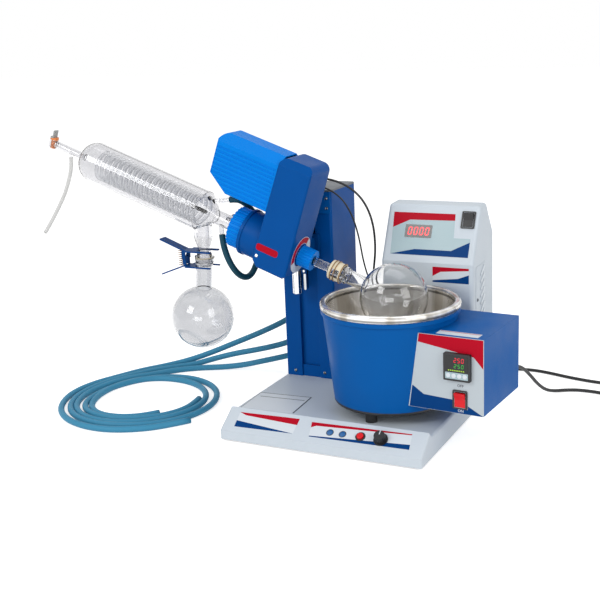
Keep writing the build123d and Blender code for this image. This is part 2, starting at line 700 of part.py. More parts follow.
# Drive head: belt case, back cover and ribbed motor cover
FOOT_CHAMFER = HEAD_CHAMFER / 2
SHROUD_LEFT = -HEAD_LENGTH - SHROUD_LENGTH
with BuildSketch() as head_outline:
    with BuildLine():
        Polyline(
            (-HEAD_LENGTH, HEAD_TOP),
            (-HEAD_LEAN, HEAD_TOP),
            (0, -HEAD_BOTTOM + FOOT_CHAMFER),
            (-FOOT_CHAMFER, -HEAD_BOTTOM),
            (-HEAD_LENGTH + HEAD_CHAMFER, -HEAD_BOTTOM),
            (-HEAD_LENGTH, -HEAD_BOTTOM + HEAD_CHAMFER),
            close=True,
        )
    make_face()
    fillet(head_outline.vertices().group_by(Axis.Y)[-1], HEAD_CORNER)

COVER_FRONT = HEAD_REAR - COVER_THICK     # cover's inner face behind the drive axis
BEARING_SHIFT = HEAD_LEAN * (HEAD_BOTTOM + BEARING_RADIUS + HEAD_WALL) / (HEAD_TOP + HEAD_BOTTOM)
BEARING_STARTS = (-HEAD_LENGTH + HEAD_WALL, -HEAD_WALL - BEARING_SHIFT - BEARING_WIDTH)


def trim_roof(front, top, run, rise, both=False):
    """Cut the slope along the front edge of a top, and along its back edge too if asked, all along the drive axis."""
    for side in (-1, 1) if both else (-1,):
        corners = [
            (side * front, top - rise),
            (side * (front - run), top),
            (side * (front - run), top + rise),
            (side * (front + run), top + rise),
            (side * (front + run), top - rise),
        ]
        with BuildSketch(DRIVE.offset(SHROUD_LEFT - HEAD_WALL)) as slope:
            Polygon(*corners, align=None)
        extrude(slope.sketch, amount=2 * HEAD_WALL - SHROUD_LEFT, mode=Mode.SUBTRACT)


with BuildPart() as head_room:
    with BuildSketch(SIDE.offset(-COVER_FRONT)):
        add(head_outline.sketch)
        offset(amount=-HEAD_WALL, kind=Kind.INTERSECTION)
    extrude(amount=COVER_FRONT + HEAD_FRONT - HEAD_WALL)
    trim_roof(HEAD_FRONT - HEAD_WALL, HEAD_TOP - HEAD_WALL, HEAD_ROOF, HEAD_ROOF)

with BuildPart() as head_housing:
    with BuildSketch(SIDE.offset(-COVER_FRONT)):
        add(head_outline.sketch)
    extrude(amount=COVER_FRONT + HEAD_FRONT)
    fillet(head_housing.faces().sort_by(Axis.Y)[0].edges(), HEAD_EDGE)
    trim_roof(HEAD_FRONT, HEAD_TOP, HEAD_ROOF, HEAD_ROOF)
    add(head_room.part, mode=Mode.SUBTRACT)
    for start in BEARING_STARTS:
        with BuildSketch(DRIVE.offset(start)):
            Circle(BEARING_RADIUS + BOSS_WALL)
            Circle(BEARING_RADIUS, mode=Mode.SUBTRACT)
        extrude(amount=BEARING_WIDTH)
    with BuildSketch(DRIVE.offset(-HEAD_LENGTH)):
        Circle(WALL_HOLE)
    extrude(amount=HEAD_LENGTH, mode=Mode.SUBTRACT)
    with BuildSketch(MOTOR.offset(-HEAD_LENGTH)):
        Circle(MOTOR_SHAFT * 2)
    extrude(amount=HEAD_WALL, mode=Mode.SUBTRACT)
keep(head_housing, "head_housing")

with BuildPart() as head_back_cover:
    with BuildSketch(SIDE.offset(-HEAD_REAR)):
        add(head_outline.sketch)
    extrude(amount=COVER_THICK)
    with BuildSketch(SIDE.offset(-HEAD_REAR)):
        with Locations(MOTOR_GLAND, SIGNAL_GLAND):
            Circle(GLAND_RADIUS)
    extrude(amount=-CABLE_GLAND, taper=12)
keep(head_back_cover, "head_back_cover")

with BuildSketch() as shroud_outline:
    with BuildLine():
        Polyline(
            (SHROUD_LEFT, SHROUD_HIGH),
            (-HEAD_LENGTH, SHROUD_HIGH),
            (-HEAD_LENGTH, SHROUD_LOW),
            (SHROUD_LEFT + SHROUD_CUT_RUN, SHROUD_LOW),
            (SHROUD_LEFT, SHROUD_LOW + SHROUD_CUT_RISE),
            close=True,
        )
    make_face()
    fillet(shroud_outline.vertices().group_by(Axis.Y)[-1].sort_by(Axis.X)[0], SHROUD_CORNER)

with BuildPart() as shroud_room:
    with BuildSketch(SIDE):
        add(shroud_outline.sketch)
        offset(amount=-SHROUD_WALL, kind=Kind.INTERSECTION)
        with Locations((-HEAD_LENGTH, (SHROUD_LOW + SHROUD_HIGH) / 2)):
            Rectangle(4 * SHROUD_WALL, SHROUD_HIGH - SHROUD_LOW - 2 * SHROUD_WALL)
    extrude(amount=SHROUD_DEPTH / 2 - SHROUD_WALL, both=True)
    trim_roof(SHROUD_DEPTH / 2 - SHROUD_WALL, SHROUD_HIGH - SHROUD_WALL, SHROUD_ROOF_RUN, SHROUD_ROOF_RISE, both=True)

with BuildPart() as motor_cover:
    with BuildSketch(SIDE):
        add(shroud_outline.sketch)
    extrude(amount=SHROUD_DEPTH / 2, both=True)
    sides = motor_cover.faces().filter_by(Axis.Y)
    open_end = motor_cover.faces().sort_by(DRIVE_AXIS)[-1]
    open_edges = open_end.edges()
    fillet([e for e in sides.edges() if e not in open_edges], SHROUD_EDGE)
    trim_roof(SHROUD_DEPTH / 2, SHROUD_HIGH, SHROUD_ROOF_RUN, SHROUD_ROOF_RISE, both=True)
    add(shroud_room.part, mode=Mode.SUBTRACT)
    for face in (SIDE.offset(SHROUD_DEPTH / 2), SIDE.offset(-SHROUD_DEPTH / 2 + RIB_DEPTH)):
        with BuildSketch(face):
            with Locations((SHROUD_LEFT + SHROUD_LENGTH / 2, RIB_FIRST + (RIB_COUNT - 1) * RIB_PITCH / 2)):
                with GridLocations(0, RIB_PITCH, 1, RIB_COUNT):
                    Rectangle(SHROUD_LENGTH - 2 * RIB_MARGIN, RIB_GAP)
        extrude(amount=-RIB_DEPTH, mode=Mode.SUBTRACT)
keep(motor_cover, "motor_cover")

with BuildPart() as drive_motor:
    with BuildSketch(MOTOR.offset(-HEAD_LENGTH)):
        Circle(MOTOR_FLANGE)
    extrude(amount=-MOTOR_FLANGE_THICK)
    with BuildSketch(MOTOR.offset(-HEAD_LENGTH)):
        Circle(MOTOR_RADIUS)
    extrude(amount=-MOTOR_LENGTH)
    with BuildSketch(MOTOR.offset(-HEAD_LENGTH)):
        Circle(MOTOR_SHAFT + RUN_FIT)
    extrude(amount=-MOTOR_BORE_DEPTH, mode=Mode.SUBTRACT)
keep(drive_motor, "drive_motor")

# Belt drive between the motor and the hollow hub
BELT_BACK = BELT_PLANE - BELT_WIDTH / 2 - CLEAR
BELT_FRONT = BELT_PLANE + BELT_WIDTH / 2 + CLEAR
with BuildPart() as motor_pulley:
    with BuildSketch(MOTOR.offset(-HEAD_LENGTH - MOTOR_BORE_DEPTH + CLEAR)):
        Circle(MOTOR_SHAFT)
    extrude(amount=BELT_FRONT + FLANGE_THICK + HEAD_LENGTH + MOTOR_BORE_DEPTH - CLEAR)
    with BuildSketch(MOTOR.offset(BELT_BACK)):
        Circle(MOTOR_PULLEY)
    extrude(amount=BELT_FRONT - BELT_BACK)
    for start in (BELT_BACK - FLANGE_THICK, BELT_FRONT):
        with BuildSketch(MOTOR.offset(start)):
            Circle(MOTOR_PULLEY + PULLEY_FLANGE)
        extrude(amount=FLANGE_THICK)
keep(motor_pulley, "motor_pulley")

with BuildPart() as drive_belt:
    with BuildSketch(DRIVE.offset(BELT_PLANE - BELT_WIDTH / 2)):
        Circle(PULLEY_RADIUS + RUN_FIT + BELT_THICK)
        with Locations((0, MOTOR_RISE)):
            Circle(MOTOR_PULLEY + RUN_FIT + BELT_THICK)
        make_hull()
    extrude(amount=BELT_WIDTH)
    with BuildSketch(DRIVE.offset(BELT_PLANE - BELT_WIDTH / 2)):
        Circle(PULLEY_RADIUS + RUN_FIT)
        with Locations((0, MOTOR_RISE)):
            Circle(MOTOR_PULLEY + RUN_FIT)
        make_hull()
    extrude(amount=BELT_WIDTH, mode=Mode.SUBTRACT)
keep(drive_belt, "drive_belt")

with BuildPart() as hub_bearings:
    for start in BEARING_STARTS:
        with BuildSketch(DRIVE.offset(start)):
            Circle(BEARING_RADIUS)
            Circle(HUB_RADIUS, mode=Mode.SUBTRACT)
        extrude(amount=BEARING_WIDTH)
keep(hub_bearings, "hub_bearings")

SHAFT = HUB_RADIUS - RUN_FIT
with BuildPart() as drive_hub:
    with BuildSketch(SIDE):
        with BuildLine():
            Polyline(
                (-HEAD_LENGTH - HUB_TAIL, HUB_BORE),
                (-HEAD_LENGTH - HUB_TAIL, SHAFT),
                (BEARING_STARTS[0] + BEARING_WIDTH + CLEAR, SHAFT),
                (BEARING_STARTS[0] + BEARING_WIDTH + CLEAR, HUB_SHOULDER),
                (BELT_BACK - FLANGE_THICK, HUB_SHOULDER),
                (BELT_BACK - FLANGE_THICK, PULLEY_RADIUS + PULLEY_FLANGE),
                (BELT_BACK, PULLEY_RADIUS + PULLEY_FLANGE),
                (BELT_BACK, PULLEY_RADIUS),
                (BELT_FRONT, PULLEY_RADIUS),
                (BELT_FRONT, PULLEY_RADIUS + PULLEY_FLANGE),
                (BELT_FRONT + FLANGE_THICK, PULLEY_RADIUS + PULLEY_FLANGE),
                (BELT_FRONT + FLANGE_THICK, HUB_SHOULDER),
                (BEARING_STARTS[1] - CLEAR, HUB_SHOULDER),
                (BEARING_STARTS[1] - CLEAR, SHAFT),
                (HUB_NOSE, SHAFT),
                (HUB_NOSE, HUB_BORE),
                close=True,
            )
        make_face()
    revolve(axis=DRIVE_AXIS)
keep(drive_hub, "drive_hub")

# Condenser side: collar, seal and ribbed union nut
COLLAR_END = -HEAD_LENGTH - COLLAR_LENGTH
NOSE_END = COLLAR_END - NOSE_LENGTH
SEAT = NOSE_END + SEAT_DEPTH
with BuildPart() as condenser_collar:
    with BuildSketch(SIDE):
        with BuildLine():
            Polyline(
                (-HEAD_LENGTH, COLLAR_BORE),
                (-HEAD_LENGTH, COLLAR_RADIUS),
                (COLLAR_END + COLLAR_RIM_WIDTH, COLLAR_RADIUS),
                (COLLAR_END + COLLAR_RIM_WIDTH, COLLAR_RIM),
                (COLLAR_END, COLLAR_RIM),
                (COLLAR_END, NOSE_RADIUS),
                (NOSE_END, NOSE_RADIUS),
                (NOSE_END, SEAT_RADIUS),
                (SEAT, SEAT_RADIUS),
                (SEAT, COLLAR_BORE),
                close=True,
            )
        make_face()
    revolve(axis=DRIVE_AXIS)
keep(condenser_collar, "condenser_collar")

with BuildPart() as shaft_seal:
    with BuildSketch(DRIVE.offset(SEAT)):
        Circle(COLLAR_BORE)
        Circle(TUBE_RADIUS + RUN_FIT, mode=Mode.SUBTRACT)
    extrude(amount=SEAL_WIDTH)
keep(shaft_seal, "shaft_seal")

with BuildPart() as union_nut:
    with BuildSketch(DRIVE.offset(NOSE_END - CLEAR - NUT_WALL)):
        Circle(NUT_RADIUS)
        with PolarLocations(NUT_RADIUS, NUT_GROOVES):
            Circle(NUT_GROOVE, mode=Mode.SUBTRACT)
    extrude(amount=COLLAR_END - NOSE_END + NUT_WALL)
    with BuildSketch(DRIVE.offset(NOSE_END - CLEAR)):
        Circle(NOSE_RADIUS + CLEAR)
    extrude(amount=NOSE_LENGTH, mode=Mode.SUBTRACT)
    with BuildSketch(DRIVE.offset(NOSE_END - CLEAR - NUT_WALL)):
        Circle(NECK_RADIUS + CLEAR)
    extrude(amount=NUT_WALL, mode=Mode.SUBTRACT)
keep(union_nut, "union_nut")

# Vapour tube with its ground cone, flask nut, evaporating flask and joint clip
JOINT_END = JOINT_START + JOINT_LENGTH
with BuildPart() as vapour_tube:
    with BuildSketch(SIDE):
        with BuildLine():
            Polyline(
                (TUBE_START, TUBE_RADIUS - TUBE_WALL),
                (TUBE_START, TUBE_RADIUS),
                (JOINT_START - JOINT_BIG + TUBE_RADIUS, TUBE_RADIUS),
                (JOINT_START, JOINT_BIG),
                (JOINT_END, JOINT_SMALL),
                (JOINT_END, TUBE_RADIUS - TUBE_WALL),
                close=True,
            )
        make_face()
    revolve(axis=DRIVE_AXIS)
keep(vapour_tube, "vapour_tube")

with BuildPart() as flask_nut:
    with BuildSketch(DRIVE.offset(CLEAR * 2)):
        Circle(FLASK_NUT_RADIUS)
        with PolarLocations(FLASK_NUT_RADIUS, FLASK_NUT_GROOVES):
            Circle(NUT_GROOVE * 0.7, mode=Mode.SUBTRACT)
    extrude(amount=FLASK_NUT_LENGTH)
    with BuildSketch(DRIVE.offset(CLEAR * 2)):
        Circle(HUB_RADIUS + CLEAR)
    extrude(amount=HUB_NOSE, mode=Mode.SUBTRACT)
    with BuildSketch(DRIVE.offset(CLEAR)):
        Circle(TUBE_RADIUS + CLEAR)
    extrude(amount=FLASK_NUT_LENGTH + CLEAR, mode=Mode.SUBTRACT)
keep(flask_nut, "flask_nut")


def meet_sphere(centre, radius, neck):
    """Place along a flask's axis where its neck of the given radius runs into the bulb."""
    return centre - sqrt(radius**2 - neck**2)


BULB_INNER = FLASK_RADIUS - GLASS
NECK_INNER = FLASK_NECK - GLASS
with BuildPart() as evaporating_flask:
    with BuildSketch(SIDE):
        with BuildLine():
            Polyline(
                (JOINT_START, JOINT_BIG + RUN_FIT),
                (JOINT_START, SOCKET_RADIUS),
                (JOINT_END, SOCKET_RADIUS),
                (JOINT_END + GLASS * 2, FLASK_NECK),
                (meet_sphere(FLASK_REACH, FLASK_RADIUS, FLASK_NECK), FLASK_NECK),
            )
            ThreePointArc(
                (meet_sphere(FLASK_REACH, FLASK_RADIUS, FLASK_NECK), FLASK_NECK),
                (FLASK_REACH, FLASK_RADIUS),
                (FLASK_REACH + FLASK_RADIUS, 0),
            )
            Line((FLASK_REACH + FLASK_RADIUS, 0), (FLASK_REACH + BULB_INNER, 0))
            ThreePointArc(
                (FLASK_REACH + BULB_INNER, 0),
                (FLASK_REACH, BULB_INNER),
                (meet_sphere(FLASK_REACH, BULB_INNER, NECK_INNER), NECK_INNER),
            )
            Polyline(
                (meet_sphere(FLASK_REACH, BULB_INNER, NECK_INNER), NECK_INNER),
                (JOINT_END + GLASS, NECK_INNER),
                (JOINT_END, JOINT_SMALL + RUN_FIT),
                (JOINT_START, JOINT_BIG + RUN_FIT),
            )
        make_face()
    revolve(axis=DRIVE_AXIS)
keep(evaporating_flask, "evaporating_flask")

with BuildPart() as joint_clip:
    with BuildSketch(DRIVE.offset(JOINT_START + CLIP_WALL)):
        Circle(SOCKET_RADIUS + CLEAR + CLIP_WALL)
        Circle(SOCKET_RADIUS + CLEAR, mode=Mode.SUBTRACT)
        with Locations((0, -SOCKET_RADIUS)):
            Rectangle(CLIP_OPEN, SOCKET_RADIUS, mode=Mode.SUBTRACT)
    extrude(amount=CLIP_LENGTH)
    with BuildSketch(SIDE):
        with Locations((JOINT_START + CLIP_WALL + CLIP_LENGTH / 2, 0)):
            Rectangle(CLIP_LENGTH - 4 * CLIP_WALL, SOCKET_RADIUS)
    extrude(amount=SOCKET_RADIUS * 2, both=True, mode=Mode.SUBTRACT)
keep(joint_clip, "joint_clip")

# Condenser glass: jacket, dome, feed inlet, stopcock barrel, coil ports and outlet in one blown piece
FLANGE_FACE = SEAT - RUN_FIT
FLANGE_BACK = NOSE_END + RUN_FIT
DOME_END = JACKET_LEFT - DOME_LENGTH
JACKET_BORE = JACKET_RADIUS - GLASS
NECK_BORE = NECK_RADIUS - GLASS
INLET_BORE = INLET_RADIUS - INLET_WALL
# Coil ports, each from a place on the jacket's shoulder to its hose end: along, up, back
UPPER_PORT = ((-222.0, 24.0, 0.0), (-186.0, 42.0, 8.0))
LOWER_PORT = ((-192.0, 8.0, 0.0), (-178.3, -29.6, 0.0))
VACUUM_PORT = ((-180.0, 0.0, 0.0), (-180.0, 0.0, 34.0))
BARREL = Plane(origin=head_point(BARREL_PLACE, 0), x_dir=BACK, z_dir=RISE)


def port_plane(port, past=0.0):
    """Plane across a port at its root, facing along it, and its length."""
    root, tip = head_point(*port[0]), head_point(*port[1])
    return Plane(origin=root, z_dir=tip - root), (tip - root).length + past


with BuildPart() as condenser_jacket:
    with BuildSketch(SIDE):
        with BuildLine():
            Polyline(
                (INLET_END, 0),
                (FLANGE_FACE, 0),
                (FLANGE_FACE, SEAT_RADIUS - CLEAR),
                (FLANGE_BACK, SEAT_RADIUS - CLEAR),
                (FLANGE_BACK, NECK_RADIUS),
                (SHOULDER_END, NECK_RADIUS),
                (JACKET_RIGHT, JACKET_RADIUS),
                (JACKET_LEFT, JACKET_RADIUS),
            )
            EllipticalCenterArc(
                (JACKET_LEFT, INLET_RADIUS), DOME_LENGTH, JACKET_RADIUS - INLET_RADIUS, start_angle=90, arc_size=90
            )
            Polyline((DOME_END, INLET_RADIUS), (INLET_END, INLET_RADIUS), (INLET_END, 0))
        make_face()
    revolve(axis=DRIVE_AXIS)
    with BuildSketch(BARREL):
        Circle(BARREL_RADIUS)
    extrude(amount=BARREL_HALF, both=True)
    with BuildSketch(Plane(origin=head_point(NIPPLE_PLACE, 0), z_dir=(0, 0, -1))):
        Circle(NIPPLE_RADIUS)
    extrude(amount=NIPPLE_DROP)
    for port in (UPPER_PORT, LOWER_PORT, VACUUM_PORT):
        plane, length = port_plane(port)
        with BuildSketch(plane):
            Circle(PORT_RADIUS)
        extrude(amount=length)
    with BuildSketch(OUTLET_SECTION):
        with BuildLine():
            Polyline(
                (0, OUTLET_TOP),
                (OUTLET_RADIUS, OUTLET_TOP),
                (OUTLET_RADIUS, OUTLET_TAPER_TOP),
                (OUTLET_NECK, OUTLET_TAPER_LOW),
                (OUTLET_NECK, -BALL_DROP),
                (0, -BALL_DROP),
                close=True,
            )
        make_face()
    revolve(axis=Axis(OUTLET, (0, 0, 1)))
    with Locations(Location(BALL)):
        Sphere(BALL_RADIUS)
    with BuildSketch(Plane(origin=BALL - Vector(0, 0, BALL_CUT))):
        Circle(BALL_RADIUS)
    extrude(amount=-BALL_RADIUS, mode=Mode.SUBTRACT)
    with BuildSketch(SIDE):
        with BuildLine():
            Polyline(
                (INLET_END + INLET_WALL, 0),
                (FLANGE_FACE, 0),
                (FLANGE_FACE, NECK_BORE),
                (SHOULDER_END - GLASS / 2, NECK_BORE),
                (JACKET_RIGHT - GLASS / 2, JACKET_BORE),
                (JACKET_LEFT, JACKET_BORE),
            )
            EllipticalCenterArc(
                (JACKET_LEFT, INLET_BORE), DOME_LENGTH - GLASS, JACKET_BORE - INLET_BORE, start_angle=90, arc_size=90
            )
            Polyline((DOME_END + GLASS, INLET_BORE), (INLET_END + INLET_WALL, INLET_BORE), (INLET_END + INLET_WALL, 0))
        make_face()
    revolve(axis=DRIVE_AXIS, mode=Mode.SUBTRACT)
    with BuildSketch(Plane(origin=OUTLET + Vector(0, 0, OUTLET_TOP))):
        Circle(OUTLET_BORE)
    extrude(amount=-OUTLET_TOP - BALL_DROP - BALL_RADIUS, mode=Mode.SUBTRACT)
    with BuildSketch(BARREL):
        Circle(KEY_RADIUS + RUN_FIT)
    extrude(amount=BARREL_HALF, both=True, mode=Mode.SUBTRACT)
    for port in (UPPER_PORT, LOWER_PORT, VACUUM_PORT):
        plane, length = port_plane(port)
        with BuildSketch(plane.offset(length)):
            Circle(PORT_BORE)
        extrude(amount=-length / 2, mode=Mode.SUBTRACT)
keep(condenser_jacket, "condenser_jacket")

# The coil reaches down to where the shoulder's inside is as wide as the coil, and rests there
COIL_OUTER = COIL_RADIUS + COIL_TUBE
SHOULDER_SHARE = (JACKET_BORE - COIL_OUTER) / (JACKET_BORE - NECK_BORE)
COIL_END = JACKET_RIGHT - GLASS / 2 + SHOULDER_SHARE * (SHOULDER_END - JACKET_RIGHT) - CLEAR
with BuildPart() as condenser_coil:
    with BuildSketch(DRIVE.offset(COIL_START)):
        Circle(COIL_OUTER)
        Circle(COIL_RADIUS - COIL_TUBE, mode=Mode.SUBTRACT)
    extrude(amount=COIL_END - COIL_START)
keep(condenser_coil, "condenser_coil")

with BuildPart() as stopcock_key:
    with BuildSketch(BARREL.offset(-BARREL_HALF - KEY_TAIL)):
        Circle(KEY_RADIUS)
    extrude(amount=2 * BARREL_HALF + KEY_TAIL + CLEAR)
    with BuildSketch(BARREL.offset(BARREL_HALF + CLEAR)):
        Circle(KEY_HEAD)
    extrude(amount=KEY_HEAD_THICK)
    with BuildSketch(BARREL.offset(BARREL_HALF + CLEAR + KEY_HEAD_THICK)):
        SlotOverall(KEY_HEAD * 1.6, KEY_HANDLE_THICK)
    extrude(amount=KEY_HANDLE)
keep(stopcock_key, "stopcock_key")

# Receiving flask hung on the ball joint, leaning a little
BULB_CENTRE = -RECEIVER_DROP
RECEIVER_INNER = RECEIVER_RADIUS - GLASS
RECEIVER_BORE = RECEIVER_NECK - GLASS
CUP_BORE = BALL_RADIUS + CLEAR
with BuildPart() as receiving_flask:
    with BuildSketch(RECEIVER_SECTION):
        with BuildLine():
            Polyline(
                (0, CUP_RIM),
                (CUP_RADIUS, CUP_RIM),
                (CUP_RADIUS, -CUP_RIM),
                (RECEIVER_NECK, -JAW_DOWN + CUP_RIM),
                (RECEIVER_NECK, -meet_sphere(-BULB_CENTRE, RECEIVER_RADIUS, RECEIVER_NECK)),
            )
            ThreePointArc(
                (RECEIVER_NECK, -meet_sphere(-BULB_CENTRE, RECEIVER_RADIUS, RECEIVER_NECK)),
                (RECEIVER_RADIUS, BULB_CENTRE),
                (0, BULB_CENTRE - RECEIVER_RADIUS),
            )
            Line((0, BULB_CENTRE - RECEIVER_RADIUS), (0, CUP_RIM))
        make_face()
    revolve(axis=Axis(BALL, LEAN))
    with BuildSketch(RECEIVER_SECTION):
        with BuildLine():
            Polyline(
                (0, -BALL_CUT),
                (RECEIVER_BORE, -BALL_CUT),
                (RECEIVER_BORE, -meet_sphere(-BULB_CENTRE, RECEIVER_INNER, RECEIVER_BORE)),
            )
            ThreePointArc(
                (RECEIVER_BORE, -meet_sphere(-BULB_CENTRE, RECEIVER_INNER, RECEIVER_BORE)),
                (RECEIVER_INNER, BULB_CENTRE),
                (0, BULB_CENTRE - RECEIVER_INNER),
            )
            Line((0, BULB_CENTRE - RECEIVER_INNER), (0, -BALL_CUT))
        make_face()
    revolve(axis=Axis(BALL, LEAN), mode=Mode.SUBTRACT)
    with Locations(Location(BALL)):
        Sphere(CUP_BORE, mode=Mode.SUBTRACT)
keep(receiving_flask, "receiving_flask")

# Spring clamp of the ball joint: two forked jaws hinged on a pin
CLAMP_PIVOT = BALL - Vector(PIVOT_REACH, 0, 0)
CLAMP_SIDE = Plane(origin=BALL, x_dir=(1, 0, 0), z_dir=(0, -1, 0))
LOWER_SHIFT = -JAW_DOWN * tan(radians(RECEIVER_LEAN))
JAW_LEFT = -PIVOT_REACH + CLAMP_PIN * 4
EAR_HALF = HANDLE_HALF


def jaw(level, out, bore, shift, ear_far):
    """One jaw: fork round the joint, sheet back past the pivot, splayed handle and two hinge ears."""
    near, far = sorted((level, level + out * JAW_SHEET))
    with BuildPart() as made:
        with BuildSketch(CLAMP_SIDE):
            with Locations(((JAW_LEFT + JAW_REACH) / 2, (near + far) / 2)):
                Rectangle(JAW_REACH - JAW_LEFT, JAW_SHEET)
        extrude(amount=JAW_HALF, both=True)
        with BuildSketch(CLAMP_SIDE):
            with BuildLine():
                Polyline(
                    (JAW_LEFT, near),
                    (JAW_LEFT, far),
                    (-PIVOT_REACH, far),
                    (-PIVOT_REACH - HANDLE_REACH, far + out * HANDLE_SPLAY),
                    (-PIVOT_REACH - HANDLE_REACH, near + out * HANDLE_SPLAY),
                    (-PIVOT_REACH, near),
                    close=True,
                )
            make_face()
        extrude(amount=HANDLE_HALF, both=True)
        for side in (-1, 1):
            with BuildSketch(CLAMP_SIDE.offset(side * (ear_far - CLAMP_EAR / 2))):
                with BuildLine():
                    Polyline(
                        (-PIVOT_REACH - 2 * CLAMP_PIN, level),
                        (-PIVOT_REACH - 2 * CLAMP_PIN, -out * 2 * CLAMP_PIN),
                        (-PIVOT_REACH + 2 * CLAMP_PIN, -out * 2 * CLAMP_PIN),
                        (-PIVOT_REACH + 2 * CLAMP_PIN, level),
                        close=True,
                    )
                make_face()
            extrude(amount=CLAMP_EAR / 2, both=True)
        with BuildSketch(Plane(origin=BALL + Vector(shift, 0, near))):
            Circle(bore)
            with Locations((JAW_REACH, 0)):
                Rectangle(2 * JAW_REACH, 2 * bore)
        extrude(amount=JAW_SHEET, mode=Mode.SUBTRACT)
    return made


clamp_lower_jaw = jaw(-JAW_DOWN, -1, RECEIVER_NECK + 2 * CLEAR, LOWER_SHIFT, EAR_HALF - CLAMP_EAR - CLEAR)
with BuildPart() as clamp_lower:
    add(clamp_lower_jaw.part)
    with BuildSketch(CLAMP_SIDE):
        with Locations((-PIVOT_REACH, 0)):
            Circle(CLAMP_PIN)
    extrude(amount=EAR_HALF, both=True)
keep(clamp_lower, "clamp_lower_jaw")

clamp_upper_jaw = jaw(JAW_UP, 1, OUTLET_NECK + 2 * CLEAR, 0, EAR_HALF)
with BuildPart() as clamp_upper:
    add(clamp_upper_jaw.part)
    with BuildSketch(CLAMP_SIDE):
        with Locations((-PIVOT_REACH, 0)):
            Circle(CLAMP_PIN + RUN_FIT)
    extrude(amount=EAR_HALF, both=True, mode=Mode.SUBTRACT)
keep(clamp_upper, "clamp_upper_jaw")

# Heated bath: bucket, polished bowl, bottom plate, heater plate and sensor
BUCKET_SLOPE = (BUCKET_HIGH - BUCKET_LOW) / BUCKET_HEIGHT
BEAD_Z = RIM_Z - BEAD_HEIGHT


def bucket_radius(z):
    """Outside radius of the bucket at a height above the bench."""
    return BUCKET_LOW + BUCKET_SLOPE * (z - BUCKET_Z)


with BuildPart() as bath_bucket:
    with BuildSketch(BATH_SECTION):
        with BuildLine():
            Polyline(
                (BUCKET_LOW - BUCKET_WALL, BUCKET_Z),
                (BUCKET_LOW, BUCKET_Z),
                (bucket_radius(BEAD_Z), BEAD_Z),
                (BUCKET_HIGH + BEAD_PROUD, BEAD_Z),
                (BUCKET_HIGH + BEAD_PROUD, RIM_Z),
                (BUCKET_HIGH - BUCKET_WALL, RIM_Z),
                close=True,
            )
        make_face()
    revolve(axis=BATH_AXIS)
    bead = bath_bucket.faces().filter_by(GeomType.CYLINDER)
    fillet(bead.edges().filter_by(GeomType.CIRCLE), BEAD_PROUD / 2)
keep(bath_bucket, "bath_bucket")

with BuildPart() as bath_liner:
    with BuildSketch(BATH_SECTION) as liner_section:
        with BuildLine():
            Polyline(
                (0, BOWL_FLOOR - BOWL_WALL),
                (BOWL_LOW + BOWL_WALL, BOWL_FLOOR - BOWL_WALL),
                (BOWL_RADIUS + BOWL_WALL, RIM_Z),
                (RIM_RADIUS, RIM_Z),
                (RIM_RADIUS, RIM_Z + RIM_HEIGHT),
                (BOWL_RADIUS, RIM_Z + RIM_HEIGHT),
                (BOWL_LOW, BOWL_FLOOR),
                (0, BOWL_FLOOR),
                close=True,
            )
        make_face()
        rim_corners = liner_section.vertices().group_by(Axis.Y)[-1]
        fillet(rim_corners, RIM_EDGE)
        fillet(liner_section.vertices().filter_by(lambda v: abs(v.X - RIM_RADIUS) < CLEAR).sort_by(Axis.Y)[0], RIM_EDGE)
        fillet(liner_section.vertices().filter_by(lambda v: abs(v.X - BOWL_LOW) < CLEAR), BOWL_CORNER)
        outer = liner_section.vertices().filter_by(lambda v: abs(v.X - BOWL_LOW - BOWL_WALL) < CLEAR)
        fillet(outer.sort_by(Axis.Y)[0], BOWL_CORNER + BOWL_WALL)
    revolve(axis=BATH_AXIS)
keep(bath_liner, "bath_liner")

with BuildPart() as bath_base_plate:
    with BuildSketch(BATH.offset(DECK + BATH_FOOT)):
        Circle(BUCKET_LOW)
    extrude(amount=BATH_PLATE)
    fillet(bath_base_plate.edges().sort_by(Axis.Z)[0], BATH_PLATE / 2)
keep(bath_base_plate, "bath_base_plate")

HEATER_TOP = BOWL_FLOOR - BOWL_WALL
with BuildPart() as bath_heater:
    with BuildSketch(BATH.offset(HEATER_TOP)):
        Circle(HEATER_RADIUS)
        Circle(HEATER_HOLE, mode=Mode.SUBTRACT)
    extrude(amount=-HEATER_THICK)
keep(bath_heater, "bath_heater")

with BuildPart() as bath_sensor:
    with BuildSketch(BATH.offset(HEATER_TOP)):
        Circle(SENSOR_RADIUS)
    extrude(amount=-SENSOR_LENGTH)
keep(bath_sensor, "bath_sensor")


def bucket_block(gap):
    """Solid that fills the bucket's outside, grown by a gap, to cut the box that hugs it."""
    with BuildPart() as made:
        with BuildSketch(BATH_SECTION):
            with BuildLine():
                Polyline(
                    (0, DECK),
                    (bucket_radius(DECK) + gap, DECK),
                    (bucket_radius(RIM_Z) + gap, RIM_Z),
                    (0, RIM_Z),
                    close=True,
                )
            make_face()
        revolve(axis=BATH_AXIS)
    return made.part


# Bath control box: sheet case that hugs the bucket, with a plate for its front
with BuildPart() as box_room:
    with BuildSketch(BATH.offset(BOX_Z + BOX_WALL)):
        with Locations(((BOX_REACH - BOX_WALL) / 2, (BOX_FRONT + BOX_BACK - BOX_WALL) / 2)):
            Rectangle(BOX_REACH - BOX_WALL, BOX_BACK - BOX_FRONT - BOX_WALL)
    extrude(amount=BOX_HEIGHT - 2 * BOX_WALL)
    add(bucket_block(CLEAR + BOX_WALL), mode=Mode.SUBTRACT)

